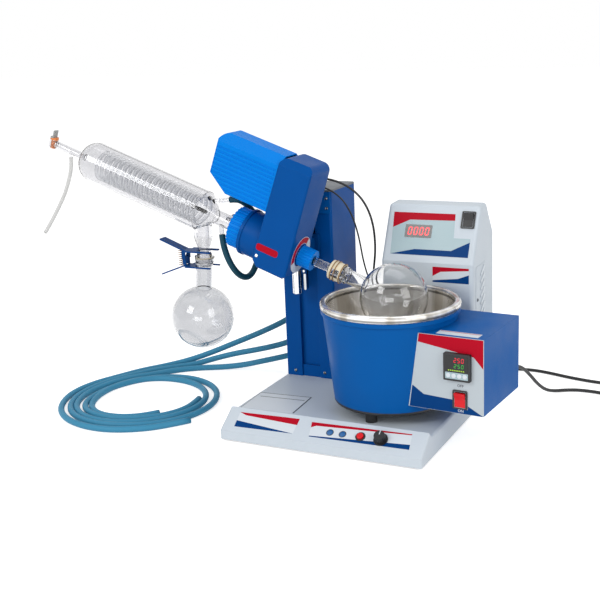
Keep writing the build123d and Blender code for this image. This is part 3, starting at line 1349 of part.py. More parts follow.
BOX_BACK_FACE = Plane(
    origin=BATH.from_local_coords(Vector(0, BOX_BACK, BOX_Z)), x_dir=-BATH.x_dir, z_dir=BATH.y_dir
)
with BuildPart() as bath_control_box:
    with BuildSketch(BATH.offset(BOX_Z)):
        with Locations((BOX_REACH / 2, (BOX_FRONT + BOX_BACK) / 2)):
            Rectangle(BOX_REACH, BOX_BACK - BOX_FRONT)
    extrude(amount=BOX_HEIGHT)
    add(bucket_block(CLEAR), mode=Mode.SUBTRACT)
    add(box_room.part, mode=Mode.SUBTRACT)
    with BuildSketch(BOX_BACK_FACE):
        with Locations((LEAD_INSET - BOX_REACH, LEAD_RISE)):
            Circle(GLAND_RADIUS)
    extrude(amount=GLAND_LENGTH, taper=6)
keep(bath_control_box, "bath_control_box")

with BuildPart() as bath_front_panel:
    with BuildSketch(BOX_FACE):
        with Locations((BOX_REACH / 2, BOX_HEIGHT / 2)):
            Rectangle(BOX_REACH, BOX_HEIGHT)
    extrude(amount=BOX_PANEL)
    with BuildSketch(BOX_FACE.offset(BOX_PANEL)):
        with Locations((BOX_SWITCH_X, BOX_SWITCH_RISE)):
            Rectangle(ROCKER_WIDTH + 2 * ROCKER_FRAME, 2 * (ROCKER_HALF + ROCKER_FRAME))
    extrude(amount=ROCKER_FRAME_PROUD)
    add(bucket_block(CLEAR), mode=Mode.SUBTRACT)
    with BuildSketch(BOX_FACE.offset(BOX_PANEL + ROCKER_FRAME_PROUD)):
        with Locations((CONTROLLER_X, CONTROLLER_RISE)):
            Rectangle(CONTROLLER_BODY, CONTROLLER_BODY)
        with Locations((BOX_SWITCH_X, BOX_SWITCH_RISE)):
            Rectangle(ROCKER_WIDTH + 2 * CLEAR, 2 * (hypot(ROCKER_HALF, ROCKER_PROUD) + CLEAR))
    extrude(amount=-BOX_PANEL - ROCKER_FRAME_PROUD, mode=Mode.SUBTRACT)
keep(bath_front_panel, "bath_front_panel")

with BuildPart() as temperature_controller:
    with BuildSketch(BOX_FACE.offset(BOX_PANEL)):
        with Locations((CONTROLLER_X, CONTROLLER_RISE)):
            RectangleRounded(CONTROLLER_BEZEL, CONTROLLER_BEZEL, CONTROLLER_PROUD / 4)
    extrude(amount=CONTROLLER_PROUD)
    with BuildSketch(BOX_FACE.offset(BOX_PANEL)):
        with Locations((CONTROLLER_X, CONTROLLER_RISE)):
            Rectangle(CONTROLLER_BODY - CLEAR, CONTROLLER_BODY - CLEAR)
    extrude(amount=-CONTROLLER_DEPTH)
keep(temperature_controller, "temperature_controller")


def rocker(face, place):
    """Rocker button pivoted across its face, shown with its lower half pressed in."""
    pivot = face.from_local_coords(Vector(place[0], place[1], 0))
    section = Plane(origin=pivot, x_dir=face.y_dir, z_dir=face.x_dir)
    with BuildPart() as made:
        with BuildSketch(section):
            with BuildLine():
                Polyline(
                    (-ROCKER_HALF, ROCKER_PROUD),
                    (0, ROCKER_DIP),
                    (ROCKER_HALF, ROCKER_PROUD),
                    (ROCKER_HALF - ROCKER_DIP, -ROCKER_TAIL),
                    (-ROCKER_HALF + ROCKER_DIP, -ROCKER_TAIL),
                    close=True,
                )
            make_face()
        extrude(amount=ROCKER_WIDTH / 2, both=True)
    return made.part.rotate(Axis(pivot, face.x_dir), ROCKER_SWING / 2)


with BuildPart() as bath_rocker:
    add(rocker(BOX_FACE.offset(BOX_PANEL), (BOX_SWITCH_X, BOX_SWITCH_RISE)))
keep(bath_rocker, "bath_rocker")

# Control tower: tall moulding with a sloped control face and louvred sides
with BuildSketch() as tower_outline:
    with BuildLine():
        Polyline(
            (TOWER_FRONT, DECK),
            (TOWER_FRONT, DECK + TOWER_FACE),
            (TOWER_FRONT + SLOPE_RUN, DECK + TOWER_FACE + SLOPE_RISE),
            (TOWER_FRONT + SLOPE_RUN + TOWER_CREST, TOWER_TOP),
            (TOWER_FRONT + SLOPE_RUN + TOWER_CREST + TOWER_BACK_RUN, TOWER_TOP - TOWER_BACK_DROP),
            (TOWER_BACK, DECK),
            close=True,
        )
    make_face()
    fillet(tower_outline.vertices().filter_by(lambda v: v.Y > TOWER_TOP - TOWER_BACK_DROP - 1), TOWER_EDGE)

with BuildPart() as tower_housing:
    with BuildSketch(Plane.YZ.offset(TOWER_X)):
        add(tower_outline.sketch)
    extrude(amount=TOWER_WIDTH / 2, both=True)
    ends = tower_housing.faces().filter_by(Axis.X)
    fillet([e for e in ends.edges() if e.center().Z > DECK + TOWER_EDGE], TOWER_EDGE)
    with BuildSketch(Plane.YZ.offset(TOWER_X)):
        add(tower_outline.sketch)
        offset(amount=-TOWER_WALL, kind=Kind.INTERSECTION)
    extrude(amount=TOWER_WIDTH / 2 - TOWER_WALL, both=True, mode=Mode.SUBTRACT)
    with BuildSketch(Plane.YZ.offset(TOWER_X - TOWER_WIDTH / 2)):
        with Locations((TOWER_FRONT + VENT_BACK, DECK + VENT_TOP - (VENT_COUNT - 1) * VENT_PITCH / 2)):
            with GridLocations(0, VENT_PITCH, 1, VENT_COUNT):
                SlotOverall(VENT_LENGTH, VENT_WIDTH, rotation=VENT_SLANT)
    extrude(amount=TOWER_WIDTH, mode=Mode.SUBTRACT)
    with BuildSketch(SLOPE):
        with Locations((TOWER_SWITCH_X, TOWER_SWITCH_UP)):
            Rectangle(ROCKER_WIDTH + 2 * ROCKER_FRAME, 2 * (ROCKER_HALF + ROCKER_FRAME))
    extrude(amount=ROCKER_FRAME_PROUD)
    with BuildSketch(SLOPE.offset(ROCKER_FRAME_PROUD)):
        with Locations((DISPLAY_X, DISPLAY_UP)):
            Rectangle(DISPLAY_WIDTH + CLEAR, DISPLAY_HEIGHT + CLEAR)
        with Locations((TOWER_SWITCH_X, TOWER_SWITCH_UP)):
            Rectangle(ROCKER_WIDTH + 2 * CLEAR, 2 * (hypot(ROCKER_HALF, ROCKER_PROUD) + CLEAR))
    extrude(amount=-TOWER_WALL - 2 * ROCKER_FRAME_PROUD, mode=Mode.SUBTRACT)
    with BuildSketch(Plane(origin=(TOWER_LEFT, ENTRY_Y, 0), x_dir=(0, -1, 0), z_dir=(-1, 0, 0))):
        with Locations((0, MOTOR_ENTRY_Z), (0, SIGNAL_ENTRY_Z)):
            Circle(GLAND_RADIUS)
    extrude(amount=CABLE_GLAND, taper=12)
    with BuildSketch(Plane(origin=(TOWER_X, TOWER_BACK - TOWER_WALL, DECK), x_dir=(-1, 0, 0), z_dir=(0, 1, 0))):
        with Locations((-TOWER_LEAD_X, TOWER_LEAD_RISE)):
            Circle(GLAND_RADIUS)
    extrude(amount=TOWER_WALL + GLAND_LENGTH, taper=6)
keep(tower_housing, "tower_housing")

with BuildPart() as tower_display:
    with BuildSketch(SLOPE):
        with Locations((DISPLAY_X, DISPLAY_UP)):
            Rectangle(DISPLAY_WIDTH, DISPLAY_HEIGHT)
    extrude(amount=-DISPLAY_DEPTH)
    with BuildSketch(SLOPE.offset(-TOWER_WALL)):
        with Locations((DISPLAY_X, DISPLAY_UP)):
            Rectangle(DISPLAY_WIDTH + 4 * TOWER_WALL, DISPLAY_HEIGHT + 4 * TOWER_WALL)
    extrude(amount=TOWER_WALL - DISPLAY_DEPTH)
keep(tower_display, "tower_display")

with BuildPart() as tower_rocker:
    add(rocker(SLOPE, (TOWER_SWITCH_X, TOWER_SWITCH_UP)))
keep(tower_rocker, "tower_rocker")

# Cords: each route is a list of points, chosen by hand, from where it leaves its fitting
LOWER_TIP = head_point(*LOWER_PORT[1]) - Vector(0, 0, 2 * CLEAR)
UPPER_TIP = head_point(*UPPER_PORT[1]) + Vector(3 * CLEAR, 0, 0)
VACUUM_TIP = head_point(*VACUUM_PORT[1]) + BACK * 2 * CLEAR
NIPPLE_TIP = head_point(NIPPLE_PLACE, 0) - Vector(0, 0, NIPPLE_DROP + CLEAR)
MOTOR_EXIT = head_point(*MOTOR_GLAND, HEAD_REAR + CABLE_GLAND + CLEAR)
SIGNAL_EXIT = head_point(*SIGNAL_GLAND, HEAD_REAR + CABLE_GLAND + CLEAR)
MOTOR_ENTRY = Vector(TOWER_LEFT - CABLE_GLAND - 2 * CLEAR, ENTRY_Y, MOTOR_ENTRY_Z)
SIGNAL_ENTRY = Vector(TOWER_LEFT - CABLE_GLAND - 2 * CLEAR, ENTRY_Y, SIGNAL_ENTRY_Z)
BATH_EXIT = BATH.from_local_coords(Vector(BOX_REACH - LEAD_INSET, BOX_BACK + GLAND_LENGTH + CLEAR, BOX_Z + LEAD_RISE))
TOWER_EXIT = Vector(TOWER_X + TOWER_LEAD_X, TOWER_BACK + GLAND_LENGTH + CLEAR, DECK + TOWER_LEAD_RISE)
LIE = MAINS_LEAD / 2           # height of a lead's middle on the bench
HOSE_LIE = HOSE / 2

FEED_ROUTE = [
    NIPPLE_TIP,
    (-658, -33, 497),
    (-663, -33, 478),
    (-672, -33, 455),
    (-686, -33, 428),
    (-705, -33, 400),
    (-726, -33, 371),
    (-748.5, -33, 343.5),
]
WATER_IN_ROUTE = [
    LOWER_TIP,
    (-290.8, -33, 345),
    (-286, -33, 325),
    (-279, -31, 304),
    (-271.5, -23, 284),
    (-265.5, -8, 269),
    (-261, 11, 264),
    (-258, 28, 272),
    (-256, 41, 289),
    (-252, 53, 306),
    (-246, 68, 318),
    (-238, 87, 322),
    (-230, 108, 317),
    (-224, 130, 303),
    (-219, 151, 281),
    (-216, 169, 251),
    (-214, 181, 213),
    (-213, 188, 168),
    (-214, 191, 120),
    (-221, 191, 78),
    (-243, 190, 48),
    (-282, 186, 36),
    (-328, 178, 24),
    (-376, 167, 12),
    (-424, 152, HOSE_LIE),
    (-470, 131, HOSE_LIE),
    (-510, 102, HOSE_LIE),
    (-541, 62, HOSE_LIE),
]
WATER_OUT_ROUTE = [
    UPPER_TIP,
    (-262, -22.5, 433),
    (-253, -16, 430),
    (-247.5, -5, 421),
    (-245, 9, 408),
    (-244, 25, 394),
    (-243, 43, 382),
    (-240, 63, 374),
    (-235, 87, 368),
    (-228, 112, 360),
    (-223, 139, 346),
    (-220, 168, 325),
    (-218, 195, 296),
    (-218, 214, 260),
    (-219, 222, 220),
    (-225, 222, 182),
    (-242, 220, 148),
    (-272, 214, 122),
    (-312, 207, 100),
    (-360, 200, 77),
    (-412, 193, 54),
    (-462, 180, 32),
    (-512, 154, 14),
    (-556, 116, HOSE_LIE),
    (-590, 68, HOSE_LIE),
    (-612, 18, HOSE_LIE),
]
VACUUM_ROUTE = [
    VACUUM_TIP,
    (-283, 18, 390.4),
    (-281, 34, 388),
    (-276, 50, 382.5),
    (-267, 66, 374),
    (-256, 83, 363),
    (-244, 101, 352),
    (-233, 121, 340),
    (-225, 143, 324),
    (-220, 165, 302),
    (-217, 185, 271),
    (-217, 199, 232),
    (-217, 204, 188),
    (-219, 205, 142),
    (-232, 204, 100),
    (-262, 200, 72),
    (-306, 194, 57),
    (-356, 188, 44),
    (-408, 182, 32),
    (-458, 168, 18),
    (-494, 146, 8),
    (-528, 118, HOSE_LIE),
    (-562, 80, HOSE_LIE),
    (-588, 36, HOSE_LIE),
]
MOTOR_CABLE_ROUTE = [
    MOTOR_EXIT,
    (-105, 38, 470.4),
    (-99, 47, 469.5),
    (-86, 52, 467),
    (-68, 55, 462),
    (-49, 58, 453),
    (-33, 62, 440),
    (-20, 68, 422),
    (-11, 75, 398),
    (-7, 83, 370),
    (-8, 92, 340),
    (-12, 101, 311),
    (-18, 108, 284),
    (-22.5, 113, 264),
    (-19.5, 115, 248),
    (-11, 115, 238.5),
    MOTOR_ENTRY,
]
SIGNAL_CABLE_ROUTE = [
    SIGNAL_EXIT,
    (-111.7, 36, 454.6),
    (-107, 45, 453.5),
    (-95, 50, 450),
    (-79, 53, 442),
    (-63, 57, 428),
    (-51, 62, 408),
    (-43, 69, 383),
    (-39, 77, 356),
    (-38, 87, 328),
    (-38, 97, 299),
    (-35, 105, 272),
    (-30, 111, 248),
    (-24, 114, 230),
    (-15, 115, 218),
    SIGNAL_ENTRY,
]
BATH_LEAD_ROUTE = [
    BATH_EXIT,
    (287.3, 64, 110),
    (289.5, 90, 104.5),
    (293, 118, 91),
    (298, 148, 69),
    (304, 180, 42),
    (312, 212, 19),
    (323, 241, 7),
    (339, 263, LIE),
    (364, 274, LIE),
    (396, 275, LIE),
    (432, 268, LIE),
    (461, 250, LIE),
    (477, 226, LIE),
    (482, 207, LIE),
]
TOWER_LEAD_ROUTE = [
    TOWER_EXIT,
    (178, 263, 70.5),
    (179, 283, 64),
    (182, 308, 47),
    (188, 333, 25),
    (199, 354, 9),
    (220, 369, LIE),
    (250, 373, LIE),
    (288, 364, LIE),
    (328, 350, LIE),
    (368, 340, LIE),
    (412, 334, LIE),
    (455, 331.5, LIE),
    (490, 332, LIE),
]
CORDS = {
    "feed_tube": (FEED_ROUTE, FEED_HOSE),
    "water_hose_in": (WATER_IN_ROUTE, HOSE),
    "water_hose_out": (WATER_OUT_ROUTE, HOSE),
    "vacuum_hose": (VACUUM_ROUTE, HOSE),
    "motor_cable": (MOTOR_CABLE_ROUTE, MOTOR_CABLE),
    "signal_cable": (SIGNAL_CABLE_ROUTE, SIGNAL_CABLE),
    "bath_lead": (BATH_LEAD_ROUTE, MAINS_LEAD),
    "tower_lead": (TOWER_LEAD_ROUTE, MAINS_LEAD),
}


def bend_radii(points):
    """Largest bend at each inner point of a route that its two runs leave room for."""
    radii = []
    for before, at, after in zip(points, points[1:], points[2:]):
        run_in, run_out = at - before, after - at
        turn = radians(run_in.get_angle(run_out))
        radii.append(CORNER_SHARE * min(run_in.length, run_out.length) / tan(turn / 2))
    return radii


for name, (route, diameter) in CORDS.items():
    points = [Vector(point) for point in route]
    radii = bend_radii(points)
    print(name, "tightest bend", round(min(radii) / diameter, 1), "diameters", [round(r) for r in radii])
    with BuildPart() as cord:
        with BuildLine() as path:
            FilletPolyline(*points, radius=radii)
        with BuildSketch(Plane(origin=points[0], z_dir=points[1] - points[0])):
            Circle(diameter / 2)
        sweep()
    length = path.wires()[0].length
    share = cord.part.volume / (length * pi * diameter**2 / 4)
    print(name, "length", round(length), "volume share", round(share, 4))
    keep(cord, name)

# Coils: the loose ring of hoses on the bench and the put-away length of each mains lead
COILS = {
    "hose_coil": (HOSE_RING, HOSE_RING_RADIUS, HOSE_RING_WIDTH, HOSE_RING_HEIGHT),
    "bath_lead_coil": (BATH_COIL, LEAD_COIL_RADIUS, LEAD_COIL_WIDTH, LEAD_COIL_HEIGHT),
    "tower_lead_coil": (TOWER_COIL, LEAD_COIL_RADIUS, LEAD_COIL_WIDTH, LEAD_COIL_HEIGHT),
}
for name, (middle, radius, width, height) in COILS.items():
    with BuildPart() as coil:
        with BuildSketch(Plane(origin=(*middle, height / 2), x_dir=(1, 0, 0), z_dir=(0, -1, 0))):
            with Locations((radius, 0)):
                RectangleRounded(width, height, min(width, height) / 2 - CLEAR)
        revolve(axis=Axis((*middle, 0), (0, 0, 1)))
    keep(coil, name)

# Mains plugs beside their coils: each lead leaves its coil's outer turn along Y and runs into a tapered tail
with BuildPart() as mains_plugs:
    for (x, y), side in ((BATH_COIL, -1), (TOWER_COIL, 1)):
        lane = x + side * (LEAD_COIL_RADIUS + LEAD_COIL_WIDTH / 2 - MAINS_LEAD / 2)
        neck = y + side * (TAIL_START + TAIL_LENGTH)
        face = neck + side * PLUG_LENGTH
        with BuildSketch(front_plane(neck)):
            with Locations((lane, PLUG_HEIGHT / 2)):
                RectangleRounded(PLUG_WIDTH, PLUG_HEIGHT, PLUG_HEIGHT / 4)
        extrude(amount=-side * PLUG_LENGTH)
        with BuildSketch(front_plane(neck)):
            with Locations((lane, PLUG_HEIGHT / 2)):
                Circle(TAIL_RADIUS)
        extrude(amount=side * TAIL_LENGTH, taper=TAIL_TAPER)
        with BuildSketch(front_plane(face)):
            with Locations((lane, PLUG_HEIGHT / 2)):
                with GridLocations(PIN_PITCH, 0, 2, 1):
                    Circle(PIN_RADIUS)
        extrude(amount=-side * PIN_LENGTH)
keep(mains_plugs, "mains_plugs")
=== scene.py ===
import json
import math

import bmesh
import bpy
from mathutils import Matrix, Vector
from mathutils.bvhtree import BVHTree


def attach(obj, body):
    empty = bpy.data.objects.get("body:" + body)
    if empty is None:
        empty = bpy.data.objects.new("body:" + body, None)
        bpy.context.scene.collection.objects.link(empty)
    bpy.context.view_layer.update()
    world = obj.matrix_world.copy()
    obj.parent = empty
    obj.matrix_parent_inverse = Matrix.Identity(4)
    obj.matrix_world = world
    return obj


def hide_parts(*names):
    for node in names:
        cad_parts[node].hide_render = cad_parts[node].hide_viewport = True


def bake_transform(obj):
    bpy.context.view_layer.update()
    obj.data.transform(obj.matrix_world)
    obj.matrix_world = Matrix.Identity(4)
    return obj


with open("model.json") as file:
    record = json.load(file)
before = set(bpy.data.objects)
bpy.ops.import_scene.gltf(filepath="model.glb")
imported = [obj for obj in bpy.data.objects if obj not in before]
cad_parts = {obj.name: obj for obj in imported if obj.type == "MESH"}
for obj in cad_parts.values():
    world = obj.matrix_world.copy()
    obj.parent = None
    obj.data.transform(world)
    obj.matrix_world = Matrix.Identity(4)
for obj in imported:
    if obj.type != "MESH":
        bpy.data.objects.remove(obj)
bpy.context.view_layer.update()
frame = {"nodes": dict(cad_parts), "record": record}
nodes = frame["nodes"]
scene = bpy.context.scene
scene.view_settings.view_transform = "Standard"


# Camera, in the row frame: turned 27 degrees to the right of straight on and looking 14 degrees down
AZIMUTH = math.radians(26.96)
PITCH = math.radians(14.42)
ROLL = math.radians(-2.42)
CAMERA_PLACE = (0.8178, -1.8775, 0.7690)
LENS = 64.31
SENSOR = 36
forward = Vector((
    -math.sin(AZIMUTH) * math.cos(PITCH), math.cos(AZIMUTH) * math.cos(PITCH), -math.sin(PITCH)))
level = Vector((math.cos(AZIMUTH), math.sin(AZIMUTH), 0))
upright = level.cross(forward)
camera_x = math.cos(ROLL) * level + math.sin(ROLL) * upright
camera_y = -math.sin(ROLL) * level + math.cos(ROLL) * upright
camera_data = bpy.data.cameras.new("photo_camera")
camera_data.lens = LENS
camera_data.sensor_width = SENSOR
camera_data.clip_end = 60
camera = bpy.data.objects.new("photo_camera", camera_data)
camera_turn = Matrix((camera_x, camera_y, -forward)).transposed().to_4x4()
camera.matrix_world = Matrix.Translation(CAMERA_PLACE) @ camera_turn
scene.collection.objects.link(camera)
scene.camera = camera


# Materials
MIX_A = 6          # colour sockets of the Mix node
MIX_B = 7
MIX_RESULT = 2
# painted shade and reflection: dark lines round the liner's rolled rim lie between these heights
RIM_PAINTED_SHADE_HEIGHTS = (0.2461, 0.2605)     # rolled rim of the bath's liner
KEY_HANDLE = (0.5535, 0.5545)      # where the stopcock's key turns into its grey handle
# painted shade: the hoses' colour darkens upwards between these heights
HOSE_SHADE = (0.03, 0.24)          # the hoses darken between these heights


def srgb(red, green, blue):
    """A screen colour in the shader's linear units."""
    channels = []
    for value in (red, green, blue):
        part = value / 255
        channels.append(part / 12.92 if part <= 0.04045 else ((part + 0.055) / 1.055) ** 2.4)
    return (*channels, 1)


def material(
        name, colour, roughness, metallic=0.0, grain=900.0, bump=0.04, shade=0.06, spread=0.08, edge=0.0):
    """A Principled material: colour, gloss and relief follow noise, with a softened edge if asked."""
    made = bpy.data.materials.new(name)
    made.use_nodes = True
    tree = made.node_tree
    shader = tree.nodes["Principled BSDF"]
    shader.inputs["Metallic"].default_value = metallic
    place = tree.nodes.new("ShaderNodeTexCoord")
    fine = tree.nodes.new("ShaderNodeTexNoise")
    fine.inputs["Scale"].default_value = grain
    fine.inputs["Detail"].default_value = 4
    broad = tree.nodes.new("ShaderNodeTexNoise")
    broad.inputs["Scale"].default_value = 14
    broad.inputs["Detail"].default_value = 3
    tree.links.new(place.outputs["Object"], fine.inputs["Vector"])
    tree.links.new(place.outputs["Object"], broad.inputs["Vector"])
    tint = tree.nodes.new("ShaderNodeMix")
    tint.data_type = "RGBA"
    tint.inputs[MIX_A].default_value = (*[c * (1 - shade) for c in colour[:3]], 1)
    tint.inputs[MIX_B].default_value = (*[min(1, c * (1 + shade)) for c in colour[:3]], 1)
    tree.links.new(broad.outputs["Fac"], tint.inputs[0])
    tree.links.new(tint.outputs[MIX_RESULT], shader.inputs["Base Color"])
    gloss = tree.nodes.new("ShaderNodeMapRange")
    gloss.inputs["From Min"].default_value = 0.3
    gloss.inputs["From Max"].default_value = 0.7
    gloss.inputs["To Min"].default_value = max(0.02, roughness - spread)
    gloss.inputs["To Max"].default_value = min(1, roughness + spread)
    tree.links.new(broad.outputs["Fac"], gloss.inputs["Value"])
    tree.links.new(gloss.outputs["Result"], shader.inputs["Roughness"])
    relief = tree.nodes.new("ShaderNodeBump")
    relief.inputs["Strength"].default_value = bump
    relief.inputs["Distance"].default_value = 0.0006
    tree.links.new(fine.outputs["Fac"], relief.inputs["Height"])
    tree.links.new(relief.outputs["Normal"], shader.inputs["Normal"])
    if edge:
        soft = tree.nodes.new("ShaderNodeBevel")
        soft.samples = 4
        soft.inputs["Radius"].default_value = edge
        tree.links.new(soft.outputs["Normal"], relief.inputs["Normal"])
    return made


def setting(made, **values):
    """Sets constant values on a material's own shader sockets."""
    sockets = made.node_tree.nodes["Principled BSDF"].inputs
    for name, value in values.items():
        sockets[name.replace("_", " ")].default_value = value
    return made


def glass(name, tint, roughness=0.0):
    """Clear drawn glass with faint long ripples."""
    made = material(name, tint, roughness + 0.02, grain=60, bump=0.05, shade=0.01, spread=0.02)
    return setting(made, Transmission_Weight=1.0, IOR=1.47)


def height_share(tree, low_z, high_z):
    """How far a point lies from one height to another, from 0 to 1."""
    place = tree.nodes.new("ShaderNodeTexCoord")
    split = tree.nodes.new("ShaderNodeSeparateXYZ")
    tree.links.new(place.outputs["Object"], split.inputs[0])
    height = tree.nodes.new("ShaderNodeMapRange")
    height.inputs["From Min"].default_value = low_z
    height.inputs["From Max"].default_value = high_z
    tree.links.new(split.outputs["Z"], height.inputs["Value"])
    return height.outputs["Result"]


def graded(made, low_colour, high_colour, heights):
    """Turns a material's colour from one to the other between two heights."""
    tree = made.node_tree
    blend = tree.nodes.new("ShaderNodeMix")
    blend.data_type = "RGBA"
    blend.inputs[MIX_A].default_value = low_colour
    blend.inputs[MIX_B].default_value = high_colour
    tree.links.new(height_share(tree, *heights), blend.inputs[0])
    tree.links.new(blend.outputs[MIX_RESULT], tree.nodes["Principled BSDF"].inputs["Base Color"])
    return made


def reflection_streaked(name, light, dark, stretch, roughness=0.09, band=None):
    """Bright metal with painted reflections in dark drawn-out streaks, and painted shade and reflection in
    dark lines between two heights if asked.
    """
    made = material(name, light, roughness, metallic=1.0, grain=180, bump=0.03, spread=0.04)
    tree = made.node_tree
    place = tree.nodes.new("ShaderNodeTexCoord")
    drawn = tree.nodes.new("ShaderNodeMapping")
    drawn.inputs["Scale"].default_value = stretch
    tree.links.new(place.outputs["Object"], drawn.inputs["Vector"])
    # painted reflections: stretched noise darkens the metal in streaks
    noise = tree.nodes.new("ShaderNodeTexNoise")
    noise.inputs["Scale"].default_value = 1
    noise.inputs["Detail"].default_value = 3
    tree.links.new(drawn.outputs["Vector"], noise.inputs["Vector"])
    ramp = tree.nodes.new("ShaderNodeValToRGB")
    ramp.color_ramp.elements[0].position = 0.38
    ramp.color_ramp.elements[0].color = dark
    ramp.color_ramp.elements[1].position = 0.56
    ramp.color_ramp.elements[1].color = light
    tree.links.new(noise.outputs["Fac"], ramp.inputs[0])
    colour = ramp.outputs[0]
    # painted shade and reflection: dark lines across the given band of heights
    if band:
        bands = tree.nodes.new("ShaderNodeValToRGB")
        first, last = bands.color_ramp.elements
        first.color = (1, 1, 1, 1)
        last.color = (1, 1, 1, 1)
        for spot, shade in ((0.16, 0.95), (0.26, 0.22), (0.46, 0.34), (0.56, 0.95), (0.80, 0.62)):
            stop = bands.color_ramp.elements.new(spot)
            stop.color = (shade, shade, shade, 1)
        tree.links.new(height_share(tree, *band), bands.inputs[0])
        shaded = tree.nodes.new("ShaderNodeMix")
        shaded.data_type = "RGBA"
        shaded.blend_type = "MULTIPLY"
        shaded.inputs[0].default_value = 1
        tree.links.new(colour, shaded.inputs[MIX_A])
        tree.links.new(bands.outputs[0], shaded.inputs[MIX_B])
        colour = shaded.outputs[MIX_RESULT]
    tree.links.new(colour, tree.nodes["Principled BSDF"].inputs["Base Color"])
    return made


def lit(name, colour, strength):
    """A lamp or lit bar that glows in its own colour."""
    made = material(name, colour, 0.3, bump=0.02)
    return setting(made, Emission_Color=colour, Emission_Strength=strength)


moulding = setting(
    material("moulding", srgb(196, 205, 213), 0.45, grain=1500, bump=0.10, shade=0.03, edge=0.0012),
    Specular_IOR_Level=0.3)
blue_paint = setting(
    material("blue_paint", srgb(0, 74, 146), 0.38, grain=1200, bump=0.10, shade=0.08, edge=0.0012),
    Specular_IOR_Level=0.07)
bath_paint = setting(
    material("bath_paint", srgb(0, 84, 156), 0.40, grain=1100, bump=0.12, shade=0.07, edge=0.001),
    Specular_IOR_Level=0.08)
azure_plastic = setting(
    material("azure_plastic", srgb(0, 124, 218), 0.42, grain=1600, bump=0.08, shade=0.05, edge=0.0006),
    Specular_IOR_Level=0.06)
grey_sheet = material("grey_sheet", srgb(96, 101, 107), 0.5, grain=1200, bump=0.12)
panel_print = material("panel_print", srgb(180, 189, 195), 0.42, grain=1400, bump=0.05, shade=0.02)
tower_print = material("tower_print", srgb(160, 182, 188), 0.40, grain=1400, bump=0.05, shade=0.03)
flask_print = material("flask_print", srgb(250, 250, 250), 0.5, grain=1400, bump=0.05, shade=0.02)
label_print = material("label_print", srgb(208, 215, 221), 0.40, grain=1400, bump=0.05, shade=0.02)
red_print = setting(
    material("red_print", srgb(176, 12, 36), 0.40, grain=1400, bump=0.05), Specular_IOR_Level=0.06)
blue_print = setting(
    material("blue_print", srgb(2, 58, 118), 0.40, grain=1400, bump=0.05), Specular_IOR_Level=0.06)
ink_print = material("ink_print", srgb(52, 58, 66), 0.5, grain=1400, bump=0.05)
polished_steel = material(
    "polished_steel", srgb(236, 233, 227), 0.09, metallic=1.0, grain=180, bump=0.05, shade=0.04, spread=0.05)
# chrome whose dark streaks are painted reflections
bright_chrome = reflection_streaked("bright_chrome", srgb(232, 234, 236), srgb(88, 90, 92), (150, 150, 8))
# liner steel with painted reflections in streaks, and painted shade and reflection in dark lines round its
# rolled rim
liner_steel = setting(
    reflection_streaked("liner_steel", srgb(255, 253, 250), srgb(205, 199, 188), (34, 34, 1.2), 0.14, RIM_PAINTED_SHADE_HEIGHTS),
    Metallic=0.72)
painted_alloy = setting(
    material("painted_alloy", srgb(0, 62, 124), 0.45, grain=700, bump=0.15), Specular_IOR_Level=0.1)
cast_alloy = material("cast_alloy", srgb(150, 153, 157), 0.45, metallic=0.9, grain=700, bump=0.2)
black_plastic = material("black_plastic", srgb(22, 22, 25), 0.40, grain=1500, bump=0.12, shade=0.12)
window_black = material("window_black", srgb(10, 11, 13), 0.12, bump=0.01)
red_plastic = setting(
    material("red_plastic", srgb(214, 14, 26), 0.26, grain=1400, bump=0.05), Specular_IOR_Level=0.3)
lamp_blue = material("lamp_blue", srgb(30, 92, 150), 0.2, bump=0.03)
orange_plastic = graded(
    material("orange_plastic", srgb(222, 126, 56), 0.35, bump=0.06),
    srgb(222, 126, 56), srgb(150, 152, 150), KEY_HANDLE)
beige_plastic = material("beige_plastic", srgb(214, 203, 176), 0.38, bump=0.06)
black_rubber = material("black_rubber", srgb(22, 23, 25), 0.55, grain=1300, bump=0.15, shade=0.15)
circuit_board = material("circuit_board", srgb(28, 96, 62), 0.45, bump=0.1)
# hoses with painted shade: light blue on the bench, darkening to dark teal up by the head
hose_rubber = graded(
    setting(
        material("hose_rubber", srgb(76, 152, 190), 0.50, grain=500, bump=0.10, spread=0.06),
        Specular_IOR_Level=0.2),
    srgb(60, 134, 168), srgb(18, 68, 85), HOSE_SHADE)
spring_wire = material("spring_wire", srgb(150, 112, 70), 0.3, metallic=0.8, bump=0.05)
red_lit = lit("red_lit", srgb(255, 70, 76), 0.7)
red_dim = lit("red_dim", srgb(214, 28, 44), 0.25)
green_lit = lit("green_lit", srgb(44, 150, 48), 0.25)
amber_lit = lit("amber_lit", srgb(150, 186, 36), 0.3)
clear_glass = glass("clear_glass", (0.80, 0.80, 0.815, 1))
flask_glass = glass("flask_glass", (0.70, 0.705, 0.72, 1))
coil_glass = glass("coil_glass", (0.74, 0.75, 0.765, 1))
bowl_glass = glass("bowl_glass", (0.88, 0.885, 0.89, 1))
clear_hose = glass("clear_hose", (0.58, 0.58, 0.57, 1), 0.3)

FINISHES = {
    "moulding": moulding, "blue_paint": blue_paint, "bath_paint": bath_paint, "azure_plastic": azure_plastic,
    "grey_sheet": grey_sheet, "panel_print": panel_print, "polished_steel": polished_steel,
    "bright_chrome": bright_chrome, "cast_alloy": cast_alloy, "black_plastic": black_plastic,
    "red_plastic": red_plastic, "orange_plastic": orange_plastic, "beige_plastic": beige_plastic,
    "black_rubber": black_rubber, "circuit_board": circuit_board, "blue_hose": hose_rubber,
    "clear_glass": clear_glass,
}
SLOT_OF = {entry["node"]: entry["material_slot"] for entry in frame["record"]["subparts"]}


def dress(node, made):
    """Gives a carried-over CAD node its finish."""
    piece = nodes[node]
    if not piece.material_slots:
        piece.data.materials.append(made)
    for holder in piece.material_slots:
        holder.material = made


